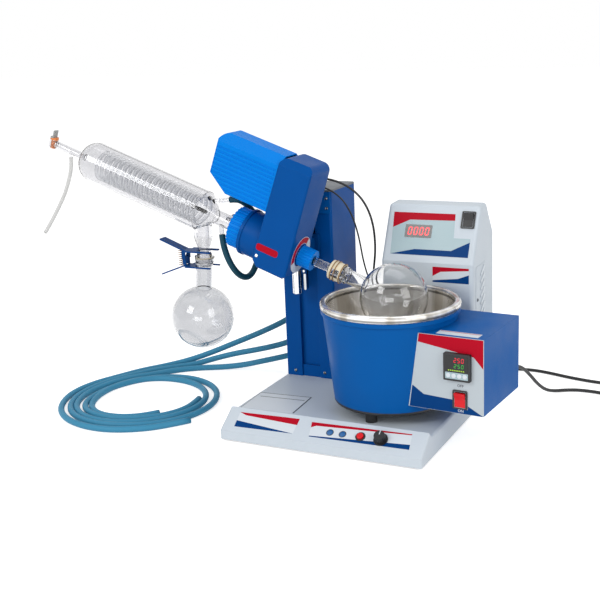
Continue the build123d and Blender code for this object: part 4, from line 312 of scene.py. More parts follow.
# Cords
def spline(name, points, fineness=6):
    """A smooth curve near these points, which are in millimetres."""
    curve = bpy.data.curves.new(name, "CURVE")
    curve.dimensions = "3D"
    curve.resolution_u = fineness
    line = curve.splines.new("NURBS")
    line.points.add(len(points) - 1)
    for point, place in zip(line.points, points):
        point.co = (place[0] / 1000, place[1] / 1000, place[2] / 1000, 1)
    line.order_u = 3
    line.use_endpoint_u = True
    made = bpy.data.objects.new(name, curve)
    scene.collection.objects.link(made)
    return made


def tube(name, points, diameter, made, sides=18, fineness=6):
    """A mesh tube of that diameter along the spline of these points, and the points it follows."""
    guide = spline(name + "_line", points, fineness)
    bpy.context.view_layer.update()
    line = bpy.data.meshes.new_from_object(guide)
    path = [v.co.copy() for v in line.vertices]
    bpy.data.objects.remove(guide)
    work = bmesh.new()
    rings = []
    heading = (path[1] - path[0]).normalized()
    side = heading.orthogonal().normalized()
    for index, place in enumerate(path):
        before = path[max(0, index - 1)]
        after = path[min(len(path) - 1, index + 1)]
        heading = (after - before).normalized()
        side = (side - heading * side.dot(heading)).normalized()
        other = heading.cross(side)
        ring = []
        for k in range(sides):
            angle = 2 * math.pi * k / sides
            spoke = math.cos(angle) * side + math.sin(angle) * other
            ring.append(work.verts.new(place + spoke * diameter / 2000))
        rings.append(ring)
    for low, high in zip(rings, rings[1:]):
        for k in range(sides):
            face = work.faces.new((low[k], low[(k + 1) % sides], high[(k + 1) % sides], high[k]))
            face.smooth = True
    work.faces.new(list(reversed(rings[0])))
    work.faces.new(rings[-1])
    mesh = bpy.data.meshes.new(name)
    work.to_mesh(mesh)
    work.free()
    mesh.materials.append(made)
    piece = bpy.data.objects.new(name, mesh)
    scene.collection.objects.link(piece)
    return piece, path


# Blue hoses
HOSE = 13
HOSE_FLOOR = HOSE / 2
COIL_CENTRE = (-470, -112)
COIL_STEP = 20     # degrees between a coil's points


def turns(start, radii):
    """Points of a coil on the bench: one radius for every step of degrees."""
    points = []
    for index, radius in enumerate(radii):
        angle = math.radians(start + COIL_STEP * index)
        x = COIL_CENTRE[0] + radius * math.cos(angle)
        y = COIL_CENTRE[1] + radius * math.sin(angle)
        points.append((x, y, HOSE_FLOOR))
    return points


WATER_IN = [
    (-291.7, -33, 361.6), (-290.8, -33, 345), (-286, -33, 325), (-279, -31, 304), (-271.5, -23, 284),
    (-265.5, -8, 269), (-261, 11, 264), (-258, 28, 272), (-256, 41, 289), (-252, 53, 306), (-246, 68, 318),
    (-238, 87, 322), (-230, 108, 317), (-224, 130, 303), (-219, 151, 281), (-216, 169, 251), (-214, 181, 213),
    (-213, 188, 168), (-214, 191, 120), (-221, 191, 78), (-243, 190, 48), (-282, 186, 36), (-328, 178, 24),
    (-376, 167, 12), (-424, 152, 6.5), (-470, 131, 6.5), (-510, 102, 6.5), (-541, 62, 6.5)]
WATER_OUT = [
    (-273.5, -25, 432.1), (-262, -22.5, 433), (-253, -16, 430), (-247.5, -5, 421), (-245, 9, 408),
    (-244, 25, 394), (-243, 43, 382), (-240, 63, 374), (-235, 87, 368), (-228, 112, 360), (-223, 139, 346),
    (-220, 168, 325), (-218, 195, 296), (-218, 214, 260), (-219, 222, 220), (-225, 222, 182),
    (-242, 220, 148), (-272, 214, 122), (-312, 207, 100), (-360, 200, 77), (-412, 193, 54),
    (-462, 180, 32), (-512, 154, 14), (-556, 116, 6.5), (-590, 68, 6.5), (-612, 18, 6.5)]
VACUUM = [
    (-283.1, 1.6, 390.6), (-283, 18, 390.4), (-281, 34, 388), (-276, 50, 382.5), (-267, 66, 374),
    (-256, 83, 363), (-244, 101, 352), (-233, 121, 340), (-225, 143, 324), (-220, 165, 302), (-217, 185, 271),
    (-217, 199, 232), (-217, 204, 188), (-219, 205, 142), (-232, 204, 100), (-262, 200, 72), (-306, 194, 57),
    (-356, 188, 44), (-408, 182, 32), (-458, 168, 18), (-494, 146, 8), (-528, 118, 6.5), (-562, 80, 6.5),
    (-588, 36, 6.5)]
WATER_IN += turns(130, [
    172, 157, 147, 141, 137, 133, 130, 127, 125, 124, 126, 130, 135, 140, 144, 149, 153, 156, 149, 131, 116,
    107, 104, 103, 101, 97, 93, 90, 88])
WATER_OUT += turns(160, [182, 177, 171, 168, 166, 165, 165, 163, 165, 170])
VACUUM += turns(148, [
    172, 161, 155, 150, 147, 144, 142, 141, 144, 149, 154, 159, 163, 168, 172, 172, 163, 147, 131, 121, 119,
    119, 116, 111, 107, 104, 104, 109, 114, 119, 124])


def hang(name, points, diameter, made):
    """A cord along these points, baked in place."""
    piece, path = tube(name, points, diameter, made)
    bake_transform(piece)
    return piece


hose_in = hang("hose_in", WATER_IN, HOSE, hose_rubber)
hose_out = hang("hose_out", WATER_OUT, HOSE, hose_rubber)
hose_vacuum = hang("hose_vacuum", VACUUM, HOSE, hose_rubber)
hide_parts("water_hose_in", "hose_coil")
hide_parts("water_hose_out")
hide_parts("vacuum_hose")

# Cables from the head to the tower
MOTOR_CABLE = [
    (-105.1, 10.3, 470.5), (-105, 38, 470.4), (-99, 47, 469.5), (-86, 52, 467), (-68, 55, 462),
    (-49, 58, 453), (-33, 62, 440), (-20, 68, 422), (-11, 75, 398), (-7, 83, 370), (-8, 92, 340),
    (-12, 101, 311), (-18, 108, 284), (-22.5, 113, 264), (-19.5, 115, 248), (-11, 115, 238.5),
    (-0.6, 115, 236)]
SIGNAL_CABLE = [
    (-111.8, 10.3, 454.9), (-111.7, 36, 454.6), (-107, 45, 453.5), (-95, 50, 450), (-79, 53, 442),
    (-63, 57, 428), (-51, 62, 408), (-43, 69, 383), (-39, 77, 356), (-38, 87, 328), (-38, 97, 299),
    (-35, 105, 272), (-30, 111, 248), (-24, 114, 230), (-15, 115, 218), (-0.6, 115, 214)]
motor_cord = hang(
    "motor_cord", MOTOR_CABLE, 4.4, black_rubber)
signal_cord = hang(
    "signal_cord", SIGNAL_CABLE, 3.4, black_rubber)
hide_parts("motor_cable")
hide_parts("signal_cable")

# Clear tube that hangs from the feed inlet
FEED_DIAMETER = 8
FEED = [(-657.1, -33, 512.4), (-658, -33, 497), (-663, -33, 478), (-672, -33, 455), (-686, -33, 428),
        (-705, -33, 400), (-726, -33, 371), (-748.5, -33, 343.5)]
feed = spline("feed_hose", FEED)
feed.data.bevel_depth = FEED_DIAMETER / 2000
feed.data.bevel_resolution = 6
feed.data.use_fill_caps = True
feed.data.materials.append(clear_hose)
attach(feed, "head")
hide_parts("feed_tube")

# Mains leads, put away in coils of two layers
LEAD = 7
LEAD_FLOOR = LEAD / 2
INNER_RADIUS = 38
OUTER_RADIUS = 45.5
INNER_TURNS = 3
CROSSING = 0.5         # part of a turn from the inner layer to the outer one
TURN_POINTS = 18
TURN_RISE = 7.3
LEAD_TOP = LEAD_FLOOR + INNER_TURNS * TURN_RISE
LEAD_END = 15
BATH_LEAD = [
    (285.8, 45.5, 110.2), (287.3, 64, 110), (289.5, 90, 104.5), (293, 118, 91), (298, 148, 69),
    (304, 180, 42), (312, 212, 19), (323, 241, 7), (339, 263, 3.5), (364, 274, 3.5), (396, 275, 3.5),
    (432, 268, 3.5), (461, 250, 3.5), (477, 226, 3.5)]
TOWER_LEAD = [
    (178, 247.3, 71), (178, 263, 70.5), (179, 283, 64), (182, 308, 47), (188, 333, 25), (199, 354, 9),
    (220, 369, 3.5), (250, 373, 3.5), (288, 364, 3.5), (328, 350, 3.5), (368, 340, 3.5), (412, 334, 3.5),
    (455, 331.5, 3.5)]


def wound(points, centre, start, outer_turns, side):
    """A lead's points, then inner turns that rise, a crossing, outer turns that come down, and its end."""
    made = list(points)
    crossed = INNER_TURNS + CROSSING
    for index in range(round((crossed + outer_turns) * TURN_POINTS) + 1):
        lap = index / TURN_POINTS
        angle = math.radians(start + 360 * lap)
        radius = INNER_RADIUS + (OUTER_RADIUS - INNER_RADIUS) * min(1, max(0, (lap - INNER_TURNS) / CROSSING))
        height = LEAD_FLOOR + TURN_RISE * min(INNER_TURNS, lap)
        if lap > crossed:
            height = LEAD_TOP - (LEAD_TOP - LEAD_END) * (lap - crossed) / outer_turns
        made.append((centre[0] + radius * math.cos(angle), centre[1] + radius * math.sin(angle), height))
    for step in (10, 20):
        made.append((centre[0] + side * OUTER_RADIUS, centre[1] + side * step, LEAD_END))
    return made


def lead(name, points):
    """A mains lead, put away in a coil, on the base."""
    piece, path = tube(name, points, LEAD, black_rubber, sides=14, fineness=4)
    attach(piece, "base")
    return piece


bath_cord = lead("bath_cord", wound(BATH_LEAD, (520, 215), 180, 1.5, -1))
tower_cord = lead("tower_cord", wound(TOWER_LEAD, (496, 370), 270, 1.75, 1))
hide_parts("bath_lead", "bath_lead_coil")
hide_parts("tower_lead", "tower_lead_coil")


# Small pieces: flat plates, turned pieces and thin wires, each set on a face
ON_FACE = 0.02         # gap under a print, so that it never lies in its face
LABEL_THICK = 0.25
STICKER_THICK = 0.2
PRINT_THICK = 0.1
OVER_LABEL = ON_FACE + LABEL_THICK
OVER_STICKER = ON_FACE + STICKER_THICK


def seat(origin, along, normal):
    """A face's own frame in millimetres: x along it, y up it and z out of it."""
    x = Vector(along).normalized()
    z = Vector(normal).normalized()
    turned_to = Matrix((x, z.cross(x), z)).transposed().to_4x4()
    return Matrix.Translation(Vector(origin) / 1000) @ turned_to @ Matrix.Scale(0.001, 4)


def outermost(node, origin, normal):
    """The origin moved along the normal to the node's outermost point."""
    n = Vector(normal).normalized()
    piece = nodes[node]
    reach = max((piece.matrix_world @ v.co).dot(n) for v in piece.data.vertices) * 1000
    return Vector(origin) + n * (reach - Vector(origin).dot(n))


def met(node, start, way):
    """The point where a line from start first meets the node."""
    piece = nodes[node]
    inward = piece.matrix_world.inverted()
    tree = BVHTree.FromObject(piece, bpy.context.evaluated_depsgraph_get())
    point = tree.ray_cast(inward @ (Vector(start) / 1000), inward.to_3x3() @ Vector(way))[0]
    return piece.matrix_world @ point * 1000


def finished(name, work, made, body):
    """A flat-shaded piece from its worked mesh, on its body and in its slot."""
    bmesh.ops.recalc_face_normals(work, faces=work.faces)
    mesh = bpy.data.meshes.new(name)
    work.to_mesh(mesh)
    work.free()
    for face in mesh.polygons:
        face.use_smooth = False
    mesh.materials.append(made)
    piece = bpy.data.objects.new(name, mesh)
    scene.collection.objects.link(piece)
    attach(piece, body)
    return piece


def box(x0, y0, x1, y1, corner=0.0):
    """A rectangle's outline, with rounded corners if asked."""
    if not corner:
        return [(x0, y0), (x1, y0), (x1, y1), (x0, y1)]
    points = []
    for cx, cy, start in ((x1 - corner, y0 + corner, -90), (x1 - corner, y1 - corner, 0),
                          (x0 + corner, y1 - corner, 90), (x0 + corner, y0 + corner, 180)):
        for k in range(5):
            angle = math.radians(start + 22.5 * k)
            points.append((cx + corner * math.cos(angle), cy + corner * math.sin(angle)))
    return points


def plates(name, face, outlines, depth, made, body, low=ON_FACE, bevel=0.0):
    """Plates on a face, from their outlines, standing from one height above it to another."""
    work = bmesh.new()
    for outline in outlines:
        under = [work.verts.new(face @ Vector((x, y, low))) for x, y in outline]
        over = [work.verts.new(face @ Vector((x, y, low + depth))) for x, y in outline]
        work.faces.new(over)
        work.faces.new(under)
        for k in range(len(outline)):
            n = (k + 1) % len(outline)
            work.faces.new((under[k], under[n], over[n], over[k]))
    piece = finished(name, work, made, body)
    if bevel:
        soft = piece.modifiers.new("soft", "BEVEL")
        soft.width = bevel / 1000
        soft.segments = 2
    return piece


def turned(name, faces, profile, made, body, steps=28, arc=360):
    """The same profile of radius and height turned on each face's axis."""
    work = bmesh.new()
    full = arc == 360
    count = steps if full else steps + 1
    for face in faces:
        rings = []
        for k in range(count):
            angle = math.radians(arc * k / steps)
            rings.append([work.verts.new(face @ Vector((r * math.cos(angle), r * math.sin(angle), h)))
                          for r, h in profile])
        pairs = list(zip(rings, rings[1:])) + ([(rings[-1], rings[0])] if full else [])
        for left, right in pairs:
            for k in range(len(profile) - 1):
                work.faces.new((left[k], right[k], right[k + 1], left[k + 1]))
        if not full:
            work.faces.new(rings[0])
            work.faces.new(rings[-1])
    bmesh.ops.remove_doubles(work, verts=work.verts, dist=0.00001)
    return finished(name, work, made, body)


SCREW = [(3.4, 0), (3.4, 0.5), (2.9, 1.3), (1.7, 1.8), (1.6, 0.9), (0, 0.8)]
SEGMENTS = {"0": "abcdef", "2": "abged", "5": "afgcd"}     # lit bars of the figures shown


def numerals(text, left, base, wide, high, pitch, bar):
    """Outlines of the lit bars of seven-bar numerals that lean a little to the right."""
    outlines = []
    half = high / 2
    for index, figure in enumerate(text):
        x = left + pitch * index
        spots = {"a": (x, base + high, wide, 0), "g": (x, base + half, wide, 0), "d": (x, base, wide, 0),
                 "f": (x, base + half, 0, half), "e": (x, base, 0, half),
                 "b": (x + wide, base + half, 0, half), "c": (x + wide, base, 0, half)}
        for letter in SEGMENTS[figure]:
            sx, sy, dx, dy = spots[letter]
            b = bar / 2
            if dx:
                points = [(sx + b, sy - b), (sx + dx - b, sy - b), (sx + dx, sy), (sx + dx - b, sy + b),
                          (sx + b, sy + b), (sx, sy)]
            else:
                points = [(sx, sy), (sx + b, sy + b), (sx + b, sy + dy - b), (sx, sy + dy),
                          (sx - b, sy + dy - b), (sx - b, sy + b)]
            outlines.append([(px + 0.1 * (py - base), py) for px, py in points])
    return outlines


def lettering(name, words, made, body, ball=None):
    """Printed words, each with its face and height; on a ball they follow its surface."""
    work = bmesh.new()
    for text, face, height in words:
        curve = bpy.data.curves.new(name, "FONT")
        curve.body = text
        curve.size = height
        curve.align_x = "CENTER"
        curve.align_y = "CENTER"
        curve.extrude = 0 if ball else 0.05
        curve.offset = 0.01 * height
        sign = bpy.data.objects.new(name + "_line", curve)
        scene.collection.objects.link(sign)
        bpy.context.view_layer.update()
        mesh = bpy.data.meshes.new_from_object(sign)
        bpy.data.objects.remove(sign)
        mesh.transform(face)
        work.from_mesh(mesh)
        bpy.data.meshes.remove(mesh)
    if ball:
        centre, radius = ball
        for vert in work.verts:
            spoke = vert.co - centre
            vert.co = centre + spoke.normalized() * radius
    return finished(name, work, made, body)


def label(name, face, outlines, made=label_print, body="base"):
    """A printed label on a face."""
    return plates(name, face, outlines, LABEL_THICK, made, body)


def stripes(name, face, outlines, made, low=OVER_LABEL):
    """Printed stripes, over a label unless another height is given."""
    return plates(name, face, outlines, PRINT_THICK, made, "base", low=low)


# Faces that the small pieces are set on
X_AXIS = Vector((1, 0, 0))
Y_AXIS = Vector((0, 1, 0))
UP = Vector((0, 0, 1))
FRONT = Vector((0, -1, 0))
HEAD_TILT = math.radians(20)
ALONG = Vector((math.cos(HEAD_TILT), 0, -math.sin(HEAD_TILT)))
RISE = Vector((math.sin(HEAD_TILT), 0, math.cos(HEAD_TILT)))
AXIS_EXIT = Vector((-114, -33, 329))       # where the drive axis leaves the head
HEAD_FRONT = 50
HEAD_HEIGHT = 227
HEAD_LEAN = 7


def head_point(along, rise, back):
    """A point of the head in millimetres: along the drive axis, up the head and back."""
    return AXIS_EXIT + along * ALONG + rise * RISE + Vector((0, back, 0))


BATH_TURN = math.radians(4.5)
BATH_X = Vector((math.cos(BATH_TURN), -math.sin(BATH_TURN), 0))
BATH_OUT = Vector((-math.sin(BATH_TURN), -math.cos(BATH_TURN), 0))
BATH_AXIS = Vector((81.3, -55, 0))
BOX_FLOOR = 86.2
BOX_FRONT = 82             # front panel from the bath's axis
PANEL_RIM = 2              # the switch's own frame stands this far out of the panel
CONTROLLER_X = 172.9
CONTROLLER_RISE = 87.9
CONSOLE_PLACE = Vector((0, -206, 38))
CONSOLE_OUT = Vector((0, -2, 3))
BUTTON_X = 79
KNOB_X = 119
DECK = 45
TOWER_X = 104
TOWER_FRONT = 82
SLOPE_OUT = Vector((0, -0.8994, 0.4371))
box_middle = BATH_AXIS + BOX_FLOOR * UP + BOX_FRONT * BATH_OUT
controller_middle = box_middle + CONTROLLER_X * BATH_X + CONTROLLER_RISE * UP
lean = (HEAD_HEIGHT * ALONG + HEAD_LEAN * RISE).normalized()

CONSOLE = seat(CONSOLE_PLACE, X_AXIS, CONSOLE_OUT)
KNOB_TOP = seat(outermost("speed_knob", CONSOLE_PLACE + KNOB_X * X_AXIS, CONSOLE_OUT), X_AXIS, CONSOLE_OUT)
DECK_TOP = seat((0, 0, DECK), X_AXIS, UP)
SLOPE = seat((TOWER_X, 108, 355.5), X_AXIS, SLOPE_OUT)
DISPLAY = seat(outermost("tower_display", (79, 109.75, 359.1), SLOPE_OUT), X_AXIS, SLOPE_OUT)
TOWER_FACE = seat((TOWER_X, TOWER_FRONT, DECK), X_AXIS, FRONT)
VENT_FACE = seat((200, 134, 220), Y_AXIS, X_AXIS)
BOX_FACE = seat(outermost("bath_front_panel", box_middle, BATH_OUT) - PANEL_RIM * BATH_OUT, BATH_X, BATH_OUT)
BOX_TOP = seat(outermost("bath_control_box", BATH_AXIS, UP), BATH_X, UP)
CONTROLLER = seat(outermost("temperature_controller", controller_middle, BATH_OUT), BATH_X, BATH_OUT)
HEAD_FACE = seat(AXIS_EXIT + HEAD_FRONT * FRONT, ALONG, FRONT)
NUT_FACE = seat(outermost("head_housing", AXIS_EXIT, lean), Y_AXIS, lean)
STOP_Y = outermost("lift_stop", (0, 0, 0), FRONT).y

# Condenser coil: a straight tube up the middle, then turns that come back down round it
COIL_TUBE = 8.6
COIL_RADIUS = 29
COIL_TURNS = 20
COIL_PITCH = 12.9
COIL_TOP = -488.5
COIL_POINTS = 15           # for each turn
coil_points = [head_point(along, 0, 0) for along in (-226, -300, -390, -468)]
for index, radius in enumerate((5, 14, 23)):
    angle = math.radians(25 * index)
    coil_points.append(head_point(-480 - 4 * index, radius * math.sin(angle), radius * math.cos(angle)))
for index in range(COIL_TURNS * COIL_POINTS + 1):
    angle = math.radians(75 + 360 * index / COIL_POINTS)
    along = COIL_TOP + COIL_PITCH * index / COIL_POINTS
    coil_points.append(head_point(along, COIL_RADIUS * math.sin(angle), COIL_RADIUS * math.cos(angle)))
coil = tube("coil", coil_points, COIL_TUBE, coil_glass, sides=10, fineness=2)[0]
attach(coil, "head")
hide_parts("condenser_coil")

# Console: two printed labels, lamps, the button's and knob's surrounds
label("console_labels", CONSOLE, [
    [(-178, -16.5), (-54, -14), (-52, 20.5), (-179, 17.5)],
    [(-20, -15), (177, -12.5), (173, 21), (-25.5, 17.5)]])
stripes("console_red", CONSOLE, [
    [(-179, 17.5), (-164, 12), (-52.5, 6), (-52, 20.5)],
    [(-25.5, 17.5), (-23, 5.5), (-14, 10.5), (173, 18.6), (173, 21)]], red_print)
stripes("console_blue", CONSOLE, [
    [(-178, -16.5), (-54, -14), (-178.5, -2)],
    [(-20, -15), (177, -12.5), (175.6, -2), (-20, -13)]], blue_print)
lamp_faces = [CONSOLE @ Matrix.Translation((x, 0, 0)) for x in (18, 43.3)]
turned("lamp_rims", lamp_faces, [(7.2, 0), (7.2, 0.7), (6.3, 1.1), (5.9, 0.6)],
       ink_print, "base")
turned("lamps", lamp_faces, [(6.1, 0.3), (5.9, 1.0), (4.2, 2.0), (2, 2.6), (0, 2.8)],
       lamp_blue, "base")
turned("button_rim", [CONSOLE @ Matrix.Translation((BUTTON_X, 0, 0))],
       [(9.6, 0), (9.6, 1.6), (8.8, 2.4), (7.6, 2.4), (7.0, 1.8), (7.0, 0)],
       black_plastic, "base")
turned("knob_dial", [CONSOLE @ Matrix.Translation((KNOB_X, 0, 0))],
       [(17.0, 0), (17.0, 0.35), (14.2, 0.35), (14.2, 0)], label_print, "base", steps=40)
label("knob_line", KNOB_TOP, [box(-0.8, 1.5, 0.8, 9.6)], body="knob")

# Blank label on the deck, with a printed frame
plates("deck_label", DECK_TOP, [[(-196, -162), (-82, -156), (-88, -62), (-200, -69)]],
       STICKER_THICK, label_print, "base")
stripes("deck_label_frame", DECK_TOP, [
    [(-82, -156), (-88, -62), (-90.5, -62.5), (-85, -155.6)],
    [(-88, -62), (-200, -69), (-199.8, -70.8), (-88.5, -63.8)],
    [(-200, -69), (-196, -162), (-195, -161.5), (-199, -69)],
    [(-190, -91), (-94, -85), (-94, -83), (-190, -89)]], ink_print, OVER_STICKER)

# Tower: sloped panel with its stripes, display figures, and the small label below
label("tower_panel", SLOPE, [
    [(-78, -45), (84, -45), (84, -7), (50, -7), (48, 24), (47, 42), (-82, 42)]], tower_print)
stripes("tower_red", SLOPE, [[(-82, 42), (-80.5, 10), (-46, 27), (48, 28.5), (47, 42)]], red_print)
stripes("tower_blue", SLOPE, [[(-78, -45), (84, -45), (84, -14), (48, -33), (-28, -33)]], blue_print)
plates("display_window", DISPLAY, [box(-28, -13.2, 28, 13.2, 1.5)], 0.5,
       window_black, "base", low=0.3)
plates("display_figures", DISPLAY, numerals("0000", -21.5, -7.5, 6.4, 15, 12, 2.2), PRINT_THICK,
       red_lit, "base", low=0.82)
label("tower_label", TOWER_FACE, [box(13.5, 219, 88, 250)])
stripes("tower_label_red", TOWER_FACE, [
    [(13.5, 250), (13.5, 231), (30, 240.5), (88, 245.5), (88, 250)]], red_print)
stripes("tower_label_blue", TOWER_FACE, [
    [(13.5, 219), (88, 219), (88, 237), (66, 228.5), (13.5, 222.5)]], blue_print)
turned("tower_screw", [seat((200.5, 111, 226), Y_AXIS, X_AXIS)], SCREW, grey_sheet, "base")

# Bath: printed bands, the controller's window, figures and keys, switch lettering, blank strip on top
OVER_WINDOW = 0.34
stripes("panel_red", BOX_FACE, [
    [(97.5, 140.5), (95.5, 125), (150, 117), (202, 108), (219.8, 88), (219.8, 140.5)]], red_print, ON_FACE)
stripes("panel_blue", BOX_FACE, [
    [(77.5, 0.5), (219.8, 0.5), (191, 16), (191, 9), (162, 9), (162, 24.5), (106, 27), (83.5, 42)]],
    blue_print, ON_FACE)
plates("controller_window", CONTROLLER, [box(-21, -8, 21, 21, 1.5)], 0.3,
       window_black, "base")
plates("controller_strip", CONTROLLER, [box(-21.5, -21.5, 21.5, -9.5, 1)], 0.3,
       tower_print, "base")
key_faces = [CONTROLLER @ Matrix.Translation((x, -15.4, 0.3)) for x in (-15.6, -5.2, 5.2, 15.6)]
turned("controller_keys", key_faces, [(4.3, 0), (4.3, 0.6), (3.6, 1.2), (0, 1.3)],
       label_print, "base", steps=20)
plates("controller_red", CONTROLLER, numerals("250", -5, 9.5, 3.8, 7.6, 7, 1.2), PRINT_THICK,
       red_dim, "base", low=OVER_WINDOW)
plates("controller_green", CONTROLLER, numerals("250", -4.5, -0.6, 3.6, 6.4, 6.8, 1.1), PRINT_THICK,
       green_lit, "base", low=OVER_WINDOW)
plates("controller_marks", CONTROLLER, [box(-16 + 4 * k, -6.6, -13.4 + 4 * k, -4.6) for k in range(8)],
       PRINT_THICK, amber_lit, "base", low=OVER_WINDOW)
lettering("switch_off", [("OFF", BOX_FACE @ Matrix.Translation((177, 52, 0.1)), 7)],
          ink_print, "base")
lettering("switch_on", [("ON", BOX_FACE @ Matrix.Translation((177.5, 5.2, 0.2)), 7)],
          label_print, "base")
plates("box_strip", BOX_TOP, [box(126, -74, 206, -52)], STICKER_THICK, label_print, "base")
stripes("box_strip_line", BOX_TOP, [box(128, -56.5, 204, -54.5)], red_print, OVER_STICKER)


# Frames of the two rocker switches
def surround(name, face, outer, inner, depth, made, body):
    """A raised frame between two rectangles with rounded corners."""
    work = bmesh.new()
    loops = []
    for (half_x, half_y, corner), height in (
            (outer, ON_FACE), (outer, depth), (inner, depth), (inner, ON_FACE)):
        outline = box(-half_x, -half_y, half_x, half_y, corner)
        loops.append([work.verts.new(face @ Vector((x, y, height))) for x, y in outline])
    for low, high in zip(loops, loops[1:] + loops[:1]):
        for k in range(len(low)):
            n = (k + 1) % len(low)
            work.faces.new((low[k], low[n], high[n], high[k]))
    return finished(name, work, made, body)


for name, face, x, y in (("bath_switch_frame", BOX_FACE, 176.4, 26.7), ("tower_switch_frame", SLOPE, 75, 31)):
    surround(name, face @ Matrix.Translation((x, y, 0)), (13.9, 17.4, 2), (10.6, 15, 0.5), 2.3,
             black_plastic, "base")

# Tower's side vents: a plate with slanted hoods
VENT_PLATE = 0.5
HOODS = 9
HOOD_PITCH = 15
HOOD_SHIFT = 9
HOOD_SLANT = math.radians(35)
plates("vent_plate", VENT_FACE, [box(-33, -74, 33, 74, 6)], VENT_PLATE, moulding, "base")
hoods = []
for index in range(HOODS):
    middle = HOOD_PITCH * (index - (HOODS - 1) / 2)
    hood = []
    for x, y in box(-15, -3.2, 15, 3.2, 3):
        hood.append((x * math.cos(HOOD_SLANT) - y * math.sin(HOOD_SLANT) + HOOD_SHIFT,
                     x * math.sin(HOOD_SLANT) + y * math.cos(HOOD_SLANT) + middle))
    hoods.append(hood)
plates("vent_hoods", VENT_FACE, hoods, 2.2, label_print, "base",
       low=ON_FACE + VENT_PLATE, bevel=1.1)

# Head: plain red band, a screw and the ring label round the flask's nut
label("head_band", HEAD_FACE, [box(-76, -8, -27, 6, 5)], red_print, "head")
turned("head_screws", [HEAD_FACE @ Matrix.Translation((-70, -20, 0))], SCREW,
       polished_steel, "head")
turned("ring_label", [NUT_FACE], [(24, 0.02), (24, 0.2), (38, 0.2), (38, 0.02)],
       label_print, "head", steps=48)
turned("ring_label_red", [NUT_FACE @ Matrix.Rotation(math.radians(55), 4, "Z")],
       [(25, 0.22), (25, 0.32), (37, 0.32), (37, 0.22), (25, 0.22)],
       red_print, "head", steps=24, arc=150)

# Column: flange and stop-plate screws
turned("column_screws", [seat((x, 55.5, z), X_AXIS, FRONT) for x, z in ((-182, 56), (-114, 57))],
       SCREW, bright_chrome, "base")
stop_faces = [seat((x, STOP_Y, z), X_AXIS, FRONT) for x in (-96, -194) for z in (428, 408)]
turned("stop_screws", stop_faces, SCREW, bright_chrome, "base")


# Wire rings of the flask's clip, and the seat ring of the receiving flask's ball joint
def hoop(name, centre, axis, radius, thick, made, body):
    """A closed ring of round wire."""
    face = seat(centre, axis.orthogonal(), axis)
    profile = []
    for k in range(9):
        angle = math.radians(45 * k)
        profile.append((radius + thick * math.cos(angle), thick * math.sin(angle)))
    return turned(name, [face], profile, made, body, steps=36)


for index, along in enumerate((76, 82.5, 95)):
    hoop("clip_wire_%d" % (index + 1), head_point(along, 0, 0), ALONG, 20.3, 0.9,
         spring_wire, "flask")
BALL_RING = Vector((-337, -33, 311))
hoop("ball_ring", BALL_RING, UP, 18.3, 1.6, beige_plastic, "head")

# Clamp spring between the handles
SPRING_BACK = 59           # from the ball joint
SPRING_WIRE = 1.4
SPRING_RADIUS = 4.2
SPRING_TURNS = 9
SPRING_POINTS = 12         # for each turn
spring_middle = BALL_RING - SPRING_BACK * X_AXIS
spring_foot = met("clamp_lower_jaw", spring_middle, -UP) + SPRING_WIRE / 2 * UP
spring_top = met("clamp_upper_jaw", spring_middle, UP) - SPRING_WIRE / 2 * UP
spring_points = []
for index in range(SPRING_TURNS * SPRING_POINTS + 1):
    angle = math.radians(360 * index / SPRING_POINTS)
    spoke = Vector((SPRING_RADIUS * math.cos(angle), SPRING_RADIUS * math.sin(angle), 0))
    spring_points.append(spring_foot.lerp(spring_top, index / (SPRING_TURNS * SPRING_POINTS)) + spoke)
spring = tube("clamp_spring", spring_points, SPRING_WIRE, spring_wire, sides=8, fineness=2)[0]
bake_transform(spring)

# Figure printed on the receiving flask
FLASK_MIDDLE = Vector((-350.5, -33, 183.6))
FIGURE_RADIUS = 65.6       # just outside the glass
FIGURE_OUT = Vector((0.863, -0.494, -0.111))
FIGURE = seat(FLASK_MIDDLE + FIGURE_RADIUS * FIGURE_OUT, UP.cross(FIGURE_OUT), FIGURE_OUT)
lettering("flask_figure", [("1000", FIGURE, 13)], flask_print, "head",
          (FLASK_MIDDLE / 1000, FIGURE_RADIUS / 1000))

# Dress every carried-over CAD node
OWN_FINISHES = {
    "bath_liner": liner_steel, "receiving_flask": flask_glass, "evaporating_flask": bowl_glass,
    "clamp_upper_jaw": painted_alloy, "clamp_lower_jaw": painted_alloy,
    "lift_carriage": painted_alloy, "head_bracket": painted_alloy,
}
for node in nodes:
    finish = OWN_FINISHES.get(node) or FINISHES.get(SLOT_OF.get(node))
    if finish:
        dress(node, finish)


# Floor and light
FLOOR_REACH = 14
FLOOR_GREY = 0.82
FLOOR_GLOW = 0.64
WORLD_LIGHT = 0.55


def seen_rays(tree):
    """1 for what the camera sees, straight or through metal and glass, and 0 for light on the object."""
    rays = tree.nodes.new("ShaderNodeLightPath")
    first = tree.nodes.new("ShaderNodeMath")
    first.operation = "MAXIMUM"
    second = tree.nodes.new("ShaderNodeMath")
    second.operation = "MAXIMUM"
    tree.links.new(rays.outputs["Is Camera Ray"], first.inputs[0])
    tree.links.new(rays.outputs["Is Glossy Ray"], first.inputs[1])
    tree.links.new(first.outputs[0], second.inputs[0])
    tree.links.new(rays.outputs["Is Transmission Ray"], second.inputs[1])
    return second.outputs[0]


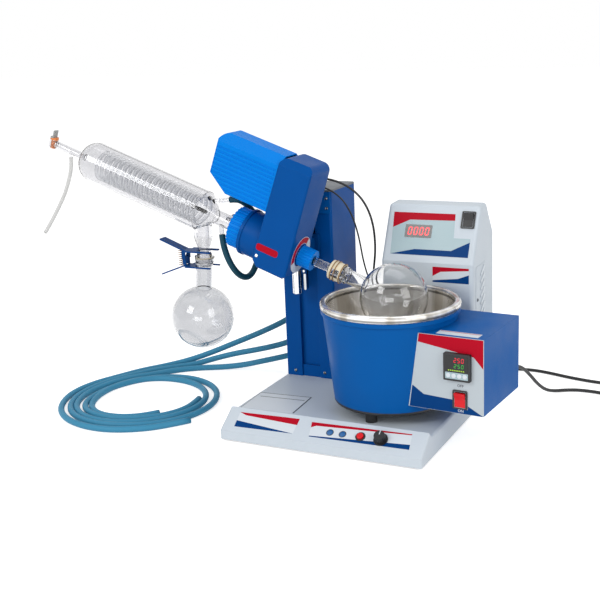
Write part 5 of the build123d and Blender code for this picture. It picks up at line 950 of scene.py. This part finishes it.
floor_mesh = bpy.data.meshes.new("floor")
corners = [(x * FLOOR_REACH, y * FLOOR_REACH, 0) for x, y in ((-1, -1), (1, -1), (1, 1), (-1, 1))]
floor_mesh.from_pydata(corners, [], [(0, 1, 2, 3)])
floor = bpy.data.objects.new("floor", floor_mesh)
scene.collection.objects.link(floor)
floor_look = bpy.data.materials.new("floor_look")
floor_look.use_nodes = True
tree = floor_look.node_tree
for node in list(tree.nodes):
    tree.nodes.remove(node)
matte = tree.nodes.new("ShaderNodeBsdfDiffuse")
matte.inputs["Color"].default_value = (FLOOR_GREY, FLOOR_GREY, FLOOR_GREY, 1)
glow = tree.nodes.new("ShaderNodeEmission")
tree.links.new(seen_rays(tree), glow.inputs["Strength"])
glow.inputs["Color"].default_value = (FLOOR_GLOW, FLOOR_GLOW, FLOOR_GLOW, 1)
both = tree.nodes.new("ShaderNodeAddShader")
tree.links.new(matte.outputs[0], both.inputs[0])
tree.links.new(glow.outputs[0], both.inputs[1])
surface = tree.nodes.new("ShaderNodeOutputMaterial")
tree.links.new(both.outputs[0], surface.inputs["Surface"])
floor_mesh.materials.append(floor_look)

world = bpy.data.worlds.new("studio")
scene.world = world
world.use_nodes = True
tree = world.node_tree
background = tree.nodes["Background"]
background.inputs["Color"].default_value = (1, 1, 1, 1)
strength = tree.nodes.new("ShaderNodeMapRange")
strength.inputs["To Min"].default_value = WORLD_LIGHT
strength.inputs["To Max"].default_value = 1.0
tree.links.new(seen_rays(tree), strength.inputs["Value"])
tree.links.new(strength.outputs["Result"], background.inputs["Strength"])


def softbox(name, place, target, size, power):
    """A soft lamp at a place, turned to its target."""
    data = bpy.data.lights.new(name, "AREA")
    data.shape = "RECTANGLE"
    data.size = size[0]
    data.size_y = size[1]
    data.energy = power
    lamp = bpy.data.objects.new(name, data)
    lamp.location = place
    lamp.rotation_euler = (Vector(target) - Vector(place)).to_track_quat("-Z", "Y").to_euler()
    scene.collection.objects.link(lamp)


softbox("key", (-1.4, -2.5, 2.0), (0, 0, 0.25), (1.3, 1.3), 34)
softbox("fill", (2.5, -1.2, 1.4), (0, 0, 0.2), (1.4, 1.8), 28)
softbox("front", (0.5, -3.2, 0.5), (0, 0, 0.25), (1.6, 0.8), 15)
softbox("top", (0.1, 0.5, 2.8), (0, 0, 0.2), (2.4, 1.4), 12)
